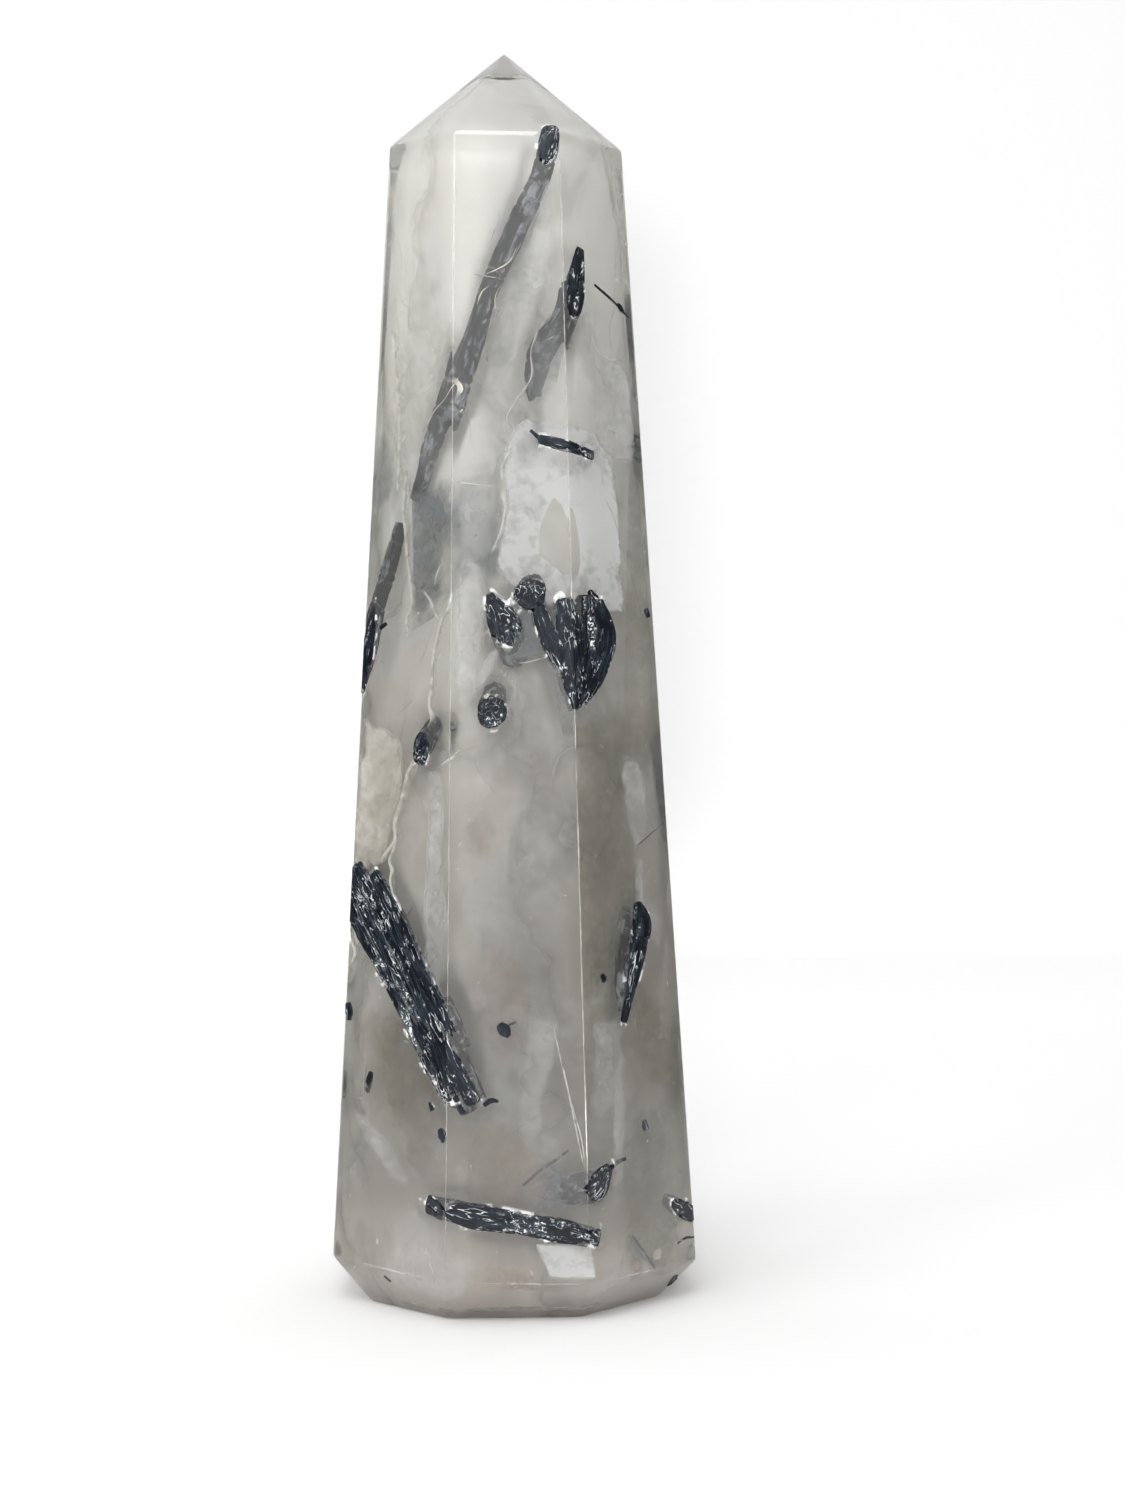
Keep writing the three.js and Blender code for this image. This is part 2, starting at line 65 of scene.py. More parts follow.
# Each rod is a list of stations: face, way across it, height, depth under it, half width, half thickness
CRYSTALS = {
    "tourmaline_long_rod": [[
        (FRONT, 4.15, 110.0, 0.0, 0.75, 0.65),
        (FRONT, 3.75, 107.9, 0.3, 0.95, 0.85),
        (FRONT, 3.1, 105.2, 1.4, 0.95, 0.9),
        (FRONT, 1.2, 101.3, 2.1, 1.05, 1.0),
        (FRONT, -1.5, 95.2, 2.3, 0.95, 0.95),
        (FRONT, -4.6, 85.6, 2.5, 1.05, 1.0),
        (FRONT_LEFT, 1.8, 80.9, 2.2, 1.05, 1.0),
        (FRONT_LEFT, -0.3, 75.4, 2.1, 0.8, 0.8),
    ]],
    "tourmaline_left_rod": [[
        (FRONT_LEFT, -2.7, 73.2, 2.7, 0.7, 0.7),
        (FRONT_LEFT, -3.4, 69.6, 1.8, 0.95, 0.9),
        (FRONT_LEFT, -4.6, 65.4, 1.0, 1.0, 0.95),
        (FRONT_LEFT, -5.3, 61.4, 0.5, 0.95, 0.9),
        (FRONT_LEFT, -6.1, 57.6, 0.1, 0.5, 0.5),
    ]],
    "tourmaline_right_rod": [[
        (FRONT_RIGHT, -2.3, 98.6, -0.1, 0.5, 0.45),
        (FRONT_RIGHT, -2.8, 96.6, 0.2, 1.0, 0.85),
        (FRONT_RIGHT, -3.3, 94.2, 0.35, 1.25, 1.05),
        (FRONT_RIGHT, -3.9, 91.8, 1.3, 1.1, 1.0),
        (FRONT, 3.3, 89.4, 3.1, 1.25, 1.15),
        (FRONT, 2.3, 86.3, 4.3, 1.2, 1.1),
        (FRONT, 2.0, 82.2, 5.0, 0.9, 0.9),
    ]],
    "tourmaline_upper_bar": [[
        (FRONT, 2.7, 80.5, 0.1, 0.4, 0.45),
        (FRONT, 4.2, 80.1, 0.5, 0.55, 0.8),
        (FRONT_RIGHT, -4.3, 79.75, 0.55, 0.55, 0.85),
        (FRONT_RIGHT, -1.8, 79.3, 0.15, 0.45, 0.5),
    ]],
    "tourmaline_teardrop_stub": [[
        (FRONT, -2.0, 66.2, -0.1, 0.35, 0.35),
        (FRONT, -1.5, 65.0, 0.3, 0.95, 0.9),
        (FRONT, -0.6, 63.4, 0.7, 1.6, 1.6),
        (FRONT, -0.1, 62.0, 1.6, 1.55, 1.5),
        (FRONT, 0.3, 60.4, 3.6, 1.2, 1.2),
    ]],
    "tourmaline_cluster": [
        [
            (FRONT, 1.6, 66.0, -0.6, 1.4, 1.3),
            (FRONT, 1.8, 66.6, 1.6, 1.4, 1.3),
            (FRONT, 2.2, 67.6, 4.8, 1.1, 1.1),
        ],
        [
            (FRONT, 4.7, 65.6, 0.7, 0.9, 1.2),
            (FRONT, 5.3, 62.0, 0.8, 1.3, 1.5),
            (FRONT_RIGHT, -5.6, 58.4, 0.9, 1.0, 1.3),
            (FRONT_RIGHT, -5.7, 55.6, 0.5, 0.45, 0.6),
        ],
        [
            (FRONT_RIGHT, -3.5, 66.0, 0.6, 1.0, 1.3),
            (FRONT_RIGHT, -3.5, 62.2, 0.9, 1.35, 1.6),
            (FRONT_RIGHT, -4.4, 58.3, 0.9, 1.1, 1.3),
            (FRONT_RIGHT, -5.3, 55.9, 0.6, 0.5, 0.6),
        ],
        [
            (FRONT_RIGHT, -2.1, 65.6, 0.5, 0.9, 1.1),
            (FRONT_RIGHT, -1.2, 62.8, 0.8, 1.5, 1.5),
            (FRONT_RIGHT, -2.5, 58.9, 0.8, 1.2, 1.2),
            (FRONT_RIGHT, -4.5, 56.3, 0.5, 0.5, 0.6),
        ],
        [
            (FRONT, 2.2, 66.2, 0.9, 0.7, 0.8),
            (FRONT, 3.0, 63.4, 0.8, 1.05, 1.1),
            (FRONT, 4.2, 60.2, 0.8, 0.9, 1.0),
            (FRONT, 5.0, 58.2, 1.1, 0.5, 0.6),
        ],
    ],
    "tourmaline_small_stub": [[
        (FRONT, -2.0, 55.1, -0.6, 1.3, 1.35),
        (FRONT, -1.8, 56.0, 1.6, 1.3, 1.35),
        (FRONT, -1.5, 57.4, 4.6, 1.0, 1.0),
    ]],
    "tourmaline_edge_stub": [[
        (FRONT_LEFT, 2.3, 51.6, -0.5, 0.95, 1.3),
        (FRONT_LEFT, 2.4, 52.8, 1.2, 0.95, 1.3),
        (FRONT_LEFT, 2.5, 54.4, 3.6, 0.7, 0.9),
    ]],
    "tourmaline_bundle": [
        [
            (FRONT_LEFT, -7.4, 37.9, 0.6, 0.85, 1.3),
            (FRONT_LEFT, -4.4, 34.2, 1.2, 0.95, 1.9),
            (FRONT_LEFT, -0.1, 29.2, 1.4, 0.95, 2.0),
            (FRONT_LEFT, 5.7, 22.0, 1.3, 0.9, 1.9),
            (FRONT, -5.1, 19.9, 1.0, 0.65, 1.2),
        ],
        [
            (FRONT_LEFT, -7.2, 40.0, 0.6, 0.85, 1.3),
            (FRONT_LEFT, -3.4, 35.4, 1.2, 0.95, 1.9),
            (FRONT_LEFT, 0.9, 29.9, 1.4, 0.95, 2.0),
            (FRONT_LEFT, 5.9, 23.6, 1.3, 0.9, 1.9),
            (FRONT, -4.3, 19.2, 0.9, 0.6, 1.1),
        ],
        [
            (FRONT_LEFT, -6.2, 41.0, 0.6, 0.85, 1.3),
            (FRONT_LEFT, -2.2, 36.5, 1.0, 1.0, 1.9),
            (FRONT_LEFT, 2.1, 30.6, 1.0, 1.0, 2.0),
            (FRONT_LEFT, 6.2, 25.1, 1.1, 0.95, 1.9),
            (FRONT, -3.6, 20.2, 0.7, 0.75, 1.3),
        ],
        [
            (FRONT_LEFT, -3.6, 40.4, 0.6, 0.75, 1.1),
            (FRONT_LEFT, -1.0, 37.2, 0.8, 0.95, 1.5),
            (FRONT_LEFT, 3.3, 31.4, 0.8, 0.95, 1.5),
            (FRONT, -6.0, 27.7, 1.2, 0.9, 1.4),
            (FRONT, -4.6, 25.0, 1.2, 0.6, 0.9),
        ],
    ],
    "tourmaline_blade": [
        [
            (FRONT_RIGHT, 1.5, 37.5, 0.1, 0.5, 0.6),
            (FRONT_RIGHT, 2.0, 35.6, 0.4, 1.35, 1.2),
            (FRONT_RIGHT, 1.3, 33.2, 0.6, 1.2, 1.2),
            (FRONT_RIGHT, 0.1, 30.2, 0.5, 0.9, 1.0),
            (FRONT_RIGHT, -1.2, 26.8, 0.1, 0.35, 0.4),
        ],
        [
            (FRONT_RIGHT, 0.6, 37.2, 1.6, 0.6, 0.6),
            (FRONT_RIGHT, 0.0, 34.4, 1.5, 0.95, 1.0),
            (FRONT_RIGHT, -0.6, 30.6, 1.1, 0.9, 1.0),
            (FRONT_RIGHT, -1.2, 27.8, 0.6, 0.4, 0.5),
        ],
    ],
    "tourmaline_base_bar": [[
        (FRONT_LEFT, 4.9, 10.8, 0.3, 0.85, 0.9),
        (FRONT, -4.7, 10.1, 0.5, 1.1, 1.2),
        (FRONT, 1.2, 9.05, 0.7, 1.1, 1.45),
        (FRONT, 5.0, 8.3, 0.6, 1.05, 1.3),
        (FRONT_RIGHT, -6.0, 7.6, 0.3, 0.85, 0.9),
    ]],
    "tourmaline_wedge": [[
        (FRONT_RIGHT, -4.2, 13.8, 0.1, 0.55, 0.5),
        (FRONT_RIGHT, -5.7, 12.4, 0.6, 1.5, 1.4),
        (FRONT, 5.0, 12.0, 1.8, 1.3, 1.2),
        (FRONT, 3.0, 11.7, 3.2, 0.9, 0.9),
        (FRONT, 1.3, 11.5, 4.2, 0.5, 0.5),
    ]],
    "tourmaline_corner_stub": [[
        (FRONT_RIGHT, 3.7, 9.7, 0.9, 0.55, 0.55),
        (FRONT_RIGHT, 5.2, 8.9, 0.55, 0.85, 0.85),
        (RIGHT, -6.3, 7.9, 0.5, 0.85, 0.85),
        (RIGHT, -5.0, 7.3, 0.2, 0.5, 0.5),
    ]],
    "tourmaline_right_rod_low": [[
        (RIGHT, -1.6, 52.6, 0.0, 0.5, 0.5),
        (RIGHT, -0.9, 50.2, 0.4, 1.0, 0.95),
        (RIGHT, 0.6, 45.4, 0.9, 1.15, 1.1),
        (RIGHT, 2.4, 40.0, 1.9, 0.8, 0.8),
    ]],
    "tourmaline_right_stub": [[
        (RIGHT, 0.8, 79.4, -0.5, 1.2, 1.15),
        (RIGHT, 0.6, 80.6, 1.6, 1.2, 1.15),
        (RIGHT, 0.3, 82.2, 4.2, 0.9, 0.9),
    ]],
    "tourmaline_back_right_blade": [[
        (BACK_RIGHT, 2.2, 27.2, 0.1, 0.5, 0.5),
        (BACK_RIGHT, 1.4, 24.6, 0.4, 1.2, 1.1),
        (BACK_RIGHT, 0.2, 21.2, 0.6, 1.25, 1.2),
        (BACK_RIGHT, -1.4, 17.0, 0.2, 0.5, 0.5),
    ]],
    "tourmaline_back_rod": [[
        (BACK, -2.9, 97.2, 0.0, 0.5, 0.5),
        (BACK, -2.4, 94.4, 0.4, 1.0, 0.9),
        (BACK, -1.0, 87.0, 1.2, 1.3, 1.2),
        (BACK, 0.6, 78.6, 1.8, 1.2, 1.1),
        (BACK, 2.0, 71.0, 2.6, 0.8, 0.8),
    ]],
    "tourmaline_back_stub": [[
        (BACK, -1.8, 57.6, -0.6, 1.4, 1.3),
        (BACK, -1.6, 58.6, 1.6, 1.4, 1.3),
        (BACK, -1.2, 60.0, 4.6, 1.0, 1.0),
    ]],
    "tourmaline_back_bundle": [
        [
            (BACK, 6.4, 45.0, 0.6, 0.8, 1.1),
            (BACK, 3.6, 42.0, 0.8, 1.05, 1.5),
            (BACK, 0.4, 38.6, 0.9, 1.0, 1.4),
            (BACK, -1.7, 36.4, 0.6, 0.6, 0.8),
        ],
        [
            (BACK, 5.6, 42.0, 0.7, 0.8, 1.1),
            (BACK, 3.0, 39.4, 0.8, 1.05, 1.5),
            (BACK, 0.4, 36.6, 0.8, 0.9, 1.2),
            (BACK, -1.2, 34.9, 0.5, 0.5, 0.7),
        ],
    ],
    "tourmaline_back_left_bar": [[
        (BACK_LEFT, -3.4, 67.6, 0.1, 0.5, 0.6),
        (BACK_LEFT, -1.6, 66.7, 0.4, 0.9, 0.9),
        (BACK_LEFT, 1.6, 65.0, 0.5, 0.9, 0.9),
        (BACK_LEFT, 3.6, 64.0, 0.1, 0.5, 0.5),
    ]],
    "tourmaline_left_stub": [[
        (LEFT, -1.4, 17.8, -0.5, 1.3, 1.2),
        (LEFT, -1.2, 19.0, 1.6, 1.3, 1.2),
        (LEFT, -0.8, 20.6, 4.4, 0.9, 0.9),
    ]],
}


# Places on the stone


def outward(face):
    """Level direction out of a face."""
    return np.array([math.sin(FACE_TURN * face), -math.cos(FACE_TURN * face), 0.0])


def sideways(face):
    """Level direction across a face, towards the next one."""
    return np.array([math.cos(FACE_TURN * face), math.sin(FACE_TURN * face), 0.0])


def face_size(face):
    return DIAGONAL_FACE if face % 2 else SQUARE_FACE


def face_distance(face, height):
    """Distance from the axis to a side face: straight between its values at the bevel and at the shoulder."""
    size = face_size(face)
    share = (height - BEVEL_TOP) / (SHOULDER - BEVEL_TOP)
    return size["bevel_top"] + (size["shoulder"] - size["bevel_top"]) * share


def place(face, across, height, depth):
    """The point that lies that far across a face, at that height and that deep under it."""
    level = outward(face) * (face_distance(face, height) - depth) + sideways(face) * across
    return level + np.array([0.0, 0.0, height])


def edge_point(face, height):
    """The point at a height on the edge between a face and the next one."""
    here, following = face_distance(face, height), face_distance(face + 1, height)
    return place(face, (following - here * math.cos(FACE_TURN)) / math.sin(FACE_TURN), height, 0.0)


def edge_ring(level, tilt):
    """Points on the eight upright edges whose height changes by a share of their X."""
    ring = []
    for face in range(FACES):
        first = edge_point(face, level)
        second = edge_point(face, level + tilt * first[0])
        ring.append(edge_point(face, level + tilt * second[0]))
    return np.array(ring)


def plane_through(a, b, c, inside):
    """(unit normal, distance) of the plane through three points that has the inside point behind it."""
    normal = np.cross(b - a, c - a)
    normal /= np.linalg.norm(normal)
    if normal @ (a - inside) < 0:
        normal = -normal
    return normal, normal @ a


def meeting_point(planes):
    """The point that three planes share."""
    return np.linalg.solve(np.array([n for n, _ in planes]), np.array([d for _, d in planes]))


def tower_form():
    """Rings of corner points (base, bevel, shoulder), the tip, and every cut plane as normals and distances."""
    heart = np.array([0.0, 0.0, HEIGHT / 2])
    tip = np.array([0.0, 0.0, HEIGHT])
    bevel, shoulder = edge_ring(BEVEL_TOP, BEVEL_TILT), edge_ring(SHOULDER, SHOULDER_TILT)
    sides = [plane_through(bevel[f - 1], bevel[f], shoulder[f], heart) for f in range(FACES)]
    points = [plane_through(shoulder[f - 1], shoulder[f], tip, heart) for f in range(FACES)]
    feet = [outward(f) * face_size(f)["base"] for f in range(FACES)]
    bevels = [plane_through(bevel[f - 1], bevel[f], feet[f], heart) for f in range(FACES)]
    ground = (np.array([0.0, 0.0, -1.0]), 0.0)
    base = np.array([meeting_point((bevels[f], bevels[(f + 1) % FACES], ground)) for f in range(FACES)])
    planes = sides + points + bevels + [ground]
    return (base, bevel, shoulder), tip, np.array([n for n, _ in planes]), np.array([d for _, d in planes])


RINGS, TIP, NORMALS, DISTANCES = tower_form()


# Helpers for surfaces


def lattice_noise(points, seed):
    """Smooth noise between -1 and 1: random values on a unit lattice, blended by a smooth step along each axis."""
    values = np.random.default_rng(seed).uniform(-1, 1, (32, 32, 32))
    cell = np.floor(points).astype(int)
    blend = points - cell
    blend = blend * blend * (3 - 2 * blend)
    total = np.zeros(points.shape[:-1])
    for corner in range(8):
        step = np.array([corner & 1, corner >> 1 & 1, corner >> 2 & 1])
        weight = np.where(step, blend, 1 - blend).prod(-1)
        x, y, z = np.moveaxis((cell + step) % 32, -1, 0)
        total += weight * values[x, y, z]
    return total


def layered_noise(points, seed, layers=3):
    """Sum of noises, each twice as fine and half as strong as the last."""
    scales = [2.0**k for k in range(layers)]
    return sum(lattice_noise(points * s, seed + k) / s for k, s in enumerate(scales)) / sum(1 / s for s in scales)


def soft_step(value, low, high):
    """0 below low, 1 above high, smooth between."""
    t = np.clip((value - low) / (high - low), 0, 1)
    return t * t * (3 - 2 * t)


def depth_under_stone(points):
    """Distance from a point to the nearest cut face, positive inside the stone."""
    return (DISTANCES - points @ NORMALS.T).min(-1)


def grid_faces(rows, columns, wrap, start=0):
    """Quads of a grid of rows by columns whose points are numbered row by row; wrap joins the last column to the first."""
    row, column = np.meshgrid(np.arange(rows - 1), np.arange(columns if wrap else columns - 1), indexing="ij")
    following = (column + 1) % columns
    quads = np.stack([row * columns + column, row * columns + following,
                      (row + 1) * columns + following, (row + 1) * columns + column], -1)
    return start + quads.reshape(-1, 4)


def closed_skin(grid, first, last):
    """Points and faces of a tube-shaped grid (rows, columns, 3) closed by a point at each end."""
    rows, columns, _ = grid.shape
    points = np.concatenate([grid.reshape(-1, 3), [first], [last]])
    here = np.arange(columns)
    following = (here + 1) % columns
    low = np.stack([np.full(columns, rows * columns), following, here], -1)
    top = (rows - 1) * columns
    high = np.stack([np.full(columns, rows * columns + 1), top + here, top + following], -1)
    return points, [grid_faces(rows, columns, True), low, high]


def make_piece(name, points, faces, materials, slot, attributes=(), second=None):
    """A mesh object from points in millimetres and arrays of quads and triangles.

    Attributes are values per point. Faces whose points average more than a half in second take the second material.
    """
    mesh = bpy.data.meshes.new(name)
    loops = np.concatenate([f.ravel() for f in faces])
    sizes = np.concatenate([np.full(len(f), f.shape[1]) for f in faces])
    mesh.vertices.add(len(points))
    mesh.vertices.foreach_set("co", (points * MM).ravel())
    mesh.loops.add(len(loops))
    mesh.loops.foreach_set("vertex_index", loops)
    mesh.polygons.add(len(sizes))
    mesh.polygons.foreach_set("loop_start", np.concatenate([[0], np.cumsum(sizes)[:-1]]))
    mesh.update(calc_edges=True)
    mesh.polygons.foreach_set("use_smooth", np.ones(len(sizes), bool))
    for label, values in attributes:
        kind, field = ("FLOAT", "value") if values.ndim == 1 else ("FLOAT_VECTOR", "vector")
        mesh.attributes.new(label, kind, "POINT").data.foreach_set(field, values.ravel())
    if second is not None:
        share = np.concatenate([second[f].mean(1) for f in faces])
        mesh.polygons.foreach_set("material_index", (share > 0.5).astype(np.int32))
    mesh.validate()
    for material in materials:
        mesh.materials.append(material)
    piece = bpy.data.objects.new(name, mesh)
    bpy.context.scene.collection.objects.link(piece)
    if slot:
        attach(piece, "root")
    return piece


# The stone


def uneven_steps(count):
    """Shares from 0 to 1 that lie closer together near both ends: part straight, part half a cosine wave."""
    even = np.linspace(0, 1, count + 1)
    return 0.3 * even + 0.7 * 0.5 * (1 - np.cos(math.pi * even))


def band(lower, upper, rows, columns):
    """Rows of points round the stone between two rings of eight corners, straight from corner to corner."""
    t = uneven_steps(rows)[:, None, None, None]
    u = uneven_steps(columns)[:-1][None, None, :, None]
    lower_line = np.roll(lower, 1, 0)[:, None] * (1 - u[0]) + lower[:, None] * u[0]
    upper_line = np.roll(upper, 1, 0)[:, None] * (1 - u[0]) + upper[:, None] * u[0]
    grid = lower_line[None] * (1 - t) + upper_line[None] * t
    return grid.reshape(rows + 1, -1, 3)


def round_edges(points):
    """Move points in by rho times the log of the sum of exp(-distance to each cut / rho), along the mean normal."""
    reach = DISTANCES - points @ NORMALS.T
    weight = np.exp(-np.maximum(reach, 0) / EDGE_ROUNDING)
    total = weight.sum(-1, keepdims=True)
    normal = (weight / total) @ NORMALS
    return points - (EDGE_ROUNDING * np.log(total) + STONE_INSET) * normal


def smooth_path(values, step):
    """Rows of values at even steps along a smooth curve through the given rows (cubic pieces, chord-length slopes)."""
    chord = np.concatenate([[0], np.cumsum(np.linalg.norm(np.diff(values[:, :3], axis=0), axis=1))])
    slope = np.gradient(values, chord, axis=0)
    s = np.linspace(0, chord[-1], max(int(chord[-1] / step), 8) + 1)
    k = np.clip(np.searchsorted(chord, s, side="right") - 1, 0, len(chord) - 2)
    span = (chord[k + 1] - chord[k])[:, None]
    t = (s - chord[k])[:, None] / span
    return ((2 * t**3 - 3 * t**2 + 1) * values[k] + (t**3 - 2 * t**2 + t) * span * slope[k]
            + (3 * t**2 - 2 * t**3) * values[k + 1] + (t**3 - t**2) * span * slope[k + 1]), s


def rod_frame(stations, step):
    """Along a rod: centres, the level way across, the way of its thickness, half sizes and the length so far."""
    rows = np.array([[*place(*station[:4]), *station[4:]] for station in stations])
    path, length = smooth_path(rows, step)
    centres, half = path[:, :3], np.maximum(path[:, 3:], 0.04)
    along = np.gradient(centres, axis=0)
    along /= np.linalg.norm(along, axis=1, keepdims=True)
    reference = sum(outward(station[0]) for station in stations)
    reference /= np.linalg.norm(reference)
    way = centres[-1] - centres[0]
    steep = abs(way @ reference) > 0.8 * np.linalg.norm(way)
    if steep:
        reference = np.array([0.0, 0.0, 1.0])
    wide = np.cross(reference, along)
    wide /= np.linalg.norm(wide, axis=1, keepdims=True)
    return centres, along, wide, np.cross(along, wide), half, length, steep


def crystal_cover(points):
    """How far a point lies inside the nearest rod, in millimetres and negative outside: from the rod's oval section."""
    cover = np.full(len(points), -9.0)
    for rods in CRYSTALS.values():
        for stations in rods:
            centres, along, wide, thick, half, _, _ = rod_frame(stations, 0.35)
            low, high = centres.min(0) - 4, centres.max(0) + 4
            near = np.nonzero(((points > low) & (points < high)).all(1))[0]
            if not len(near):
                continue
            gap = points[near][:, None] - centres[None]
            k = (gap**2).sum(-1).argmin(1)
            gap = gap[np.arange(len(near)), k]
            a = (gap * wide[k]).sum(-1) / half[k, 0]
            b = (gap * thick[k]).sum(-1) / half[k, 1]
            past = np.abs((gap * along[k]).sum(-1))
            inside = (1 - np.hypot(a, b)) * half[k].min(1) - np.maximum(past - 0.3, 0)
            cover[near] = np.maximum(cover[near], inside)
    return cover


def stone_surface():
    """The polished stone: flat bands between its rings, rounded at the edges and sunk under each cut crystal."""
    base, bevel, shoulder = RINGS
    columns = 32
    bands = [band(base * 0.04, base, 8, columns), band(base, bevel, 12, columns),
             band(bevel, shoulder, 190, columns), band(shoulder, TIP + (shoulder - TIP) * 0.006, 36, columns)]
    grid = np.concatenate([bands[0]] + [b[1:] for b in bands[1:]])
    shape = grid.shape
    flat = grid.reshape(-1, 3)
    cover = crystal_cover(flat)
    normal = NORMALS[(DISTANCES - flat @ NORMALS.T).argmin(-1)]
    sunk = round_edges(flat) - normal * (0.4 * soft_step(cover, 0.0, 0.35))[:, None]
    points, faces = closed_skin(sunk.reshape(shape), np.zeros(3), round_edges(TIP[None])[0])
    return points, faces, np.concatenate([cover, [-9, -9]])


# The crystals


def cut_flush(points, ways, allowance):
    """Bring points that stand out of the stone back to its faces, along the face's normal or along a given way."""
    moved = points.copy()
    cut = np.zeros(len(points))
    for normal, distance in zip(NORMALS, DISTANCES):
        out = moved @ normal - distance - allowance
        step = normal[None] if ways is None else ways / (ways @ normal)[:, None]
        outside = out > 0
        moved[outside] -= (out[:, None] * step)[outside]
        cut = np.maximum(cut, out)
    return moved, cut


def rod_surface(stations, seed, step=0.2, columns=56):
    """A rod over the way along it and the turn round it: centre + oval section x (1 + ridges), closed by domed ends.

    The ridges are noise stretched along the rod, its width swells and shrinks on each side, and narrow grooves cross
    it where it broke and healed. Where the stone's faces cut it, jagged pits are sunk into the flat cut. The grain is
    a place in the crystal itself, squeezed along the rod, that fine striae follow.
    """
    rng = np.random.default_rng(seed)
    centres, along, wide, thick, half, length, steep = rod_frame(stations, step)
    turn = 2 * math.pi * np.arange(columns) / columns
    rows = len(centres)
    closing = np.linspace(0.08, 1, 10)
    shrink = np.concatenate([closing[:-1], np.ones(rows), closing[-2::-1]])
    index = np.concatenate([np.zeros(9, int), np.arange(rows), np.full(9, rows - 1)])
    dome = 0.25 * np.sqrt(np.clip(1 - shrink**2, 0, 1)) * half[index].min(1)
    side = np.concatenate([-np.ones(9), np.zeros(rows), np.ones(9)])
    shape = (len(index), columns)
    so_far = np.broadcast_to(length[index][:, None] + seed * 3.7, shape)
    spots = np.stack([np.broadcast_to(2.7 * np.cos(turn), shape), np.broadcast_to(2.7 * np.sin(turn), shape),
                      so_far * 0.2], -1)
    ridges = 0.16 * layered_noise(spots, seed, 3)
    ridges = ridges + 0.15 * layered_noise(spots * [0.35, 0.35, 2.6] + 9, seed + 5, 3)
    breaks = rng.uniform(0, length[-1], max(int(length[-1] / 3), 1))
    groove = sum(np.exp(-((length[index][:, None] - b - 0.2 * np.sin(turn + b)) / 0.12) ** 2) for b in breaks)
    reach = (1 + ridges - 0.16 * np.minimum(groove, 1)) * shrink[:, None]
    sizes = half[index]
    across = np.cos(turn) * reach * sizes[:, :1]
    deep = np.sin(turn) * reach * sizes[:, 1:]
    grid = (centres[index] + along[index] * (side * dome)[:, None])[:, None]
    grid = grid + wide[index][:, None] * across[..., None] + thick[index][:, None] * deep[..., None]
    flat = grid.reshape(-1, 3)
    ways = np.broadcast_to(along[index][:, None], grid.shape).reshape(-1, 3) if steep else None
    flush, cut = cut_flush(flat, ways, 0.0)
    cut_share = soft_step(cut, 0.0, 0.10)
    normal = NORMALS[(DISTANCES - flush @ NORMALS.T).argmin(-1)]
    stretch = 1.5 if steep else 0.55
    local = np.stack([across * 2.2, deep * 2.2, so_far * stretch], -1).reshape(-1, 3)
    groups = layered_noise(local * 0.35, seed + 60, 2)
    pits = soft_step(layered_noise(local, seed + 40, 3) + 0.6 * groups, 0.34, 0.46) * cut_share * (half.max() > 0.7)
    flush = flush - normal * (0.24 * pits)[:, None]
    grain = np.stack([across * 2.6, deep * 2.6, so_far * (1.6 if steep else 0.45)], -1) * MM
    healed = np.broadcast_to(np.minimum(groove, 1), shape)
    return flush.reshape(grid.shape), cut_share, pits, healed.ravel(), grain.reshape(-1, 3)


def crystal_mesh(rods, seed, step=0.2, columns=56):
    """Points, faces and attributes of rods in one mesh: share cut, depth of pits, healed breaks, and the grain."""
    points, faces, values, start = [], [], [], 0
    for number, stations in enumerate(rods):
        grid, *measures = rod_surface(stations, seed + 17 * number, step, columns)
        rod_points, rod_faces = closed_skin(grid, grid[0].mean(0), grid[-1].mean(0))
        points.append(rod_points)
        faces += [f + start for f in rod_faces]
        values.append([np.concatenate([measure, measure[[0, -1]]]) for measure in measures])
        start += len(rod_points)
    joined = [np.concatenate(parts) for parts in zip(*values)]
    return np.concatenate(points), faces, list(zip(("cut", "pit", "healed", "grain"), joined))


def crystal_piece(name, rods, materials, step=0.2, columns=56):
    """One crystal as an object: polished where the stone's faces cut it, dull where quartz covers it."""
    points, faces, attributes = crystal_mesh(rods, 11 + sum(map(ord, name)), step, columns)
    buried = 1.0 - (attributes[0][1] > 0)
    return make_piece(name, points, faces, materials, "tourmaline", attributes, buried)


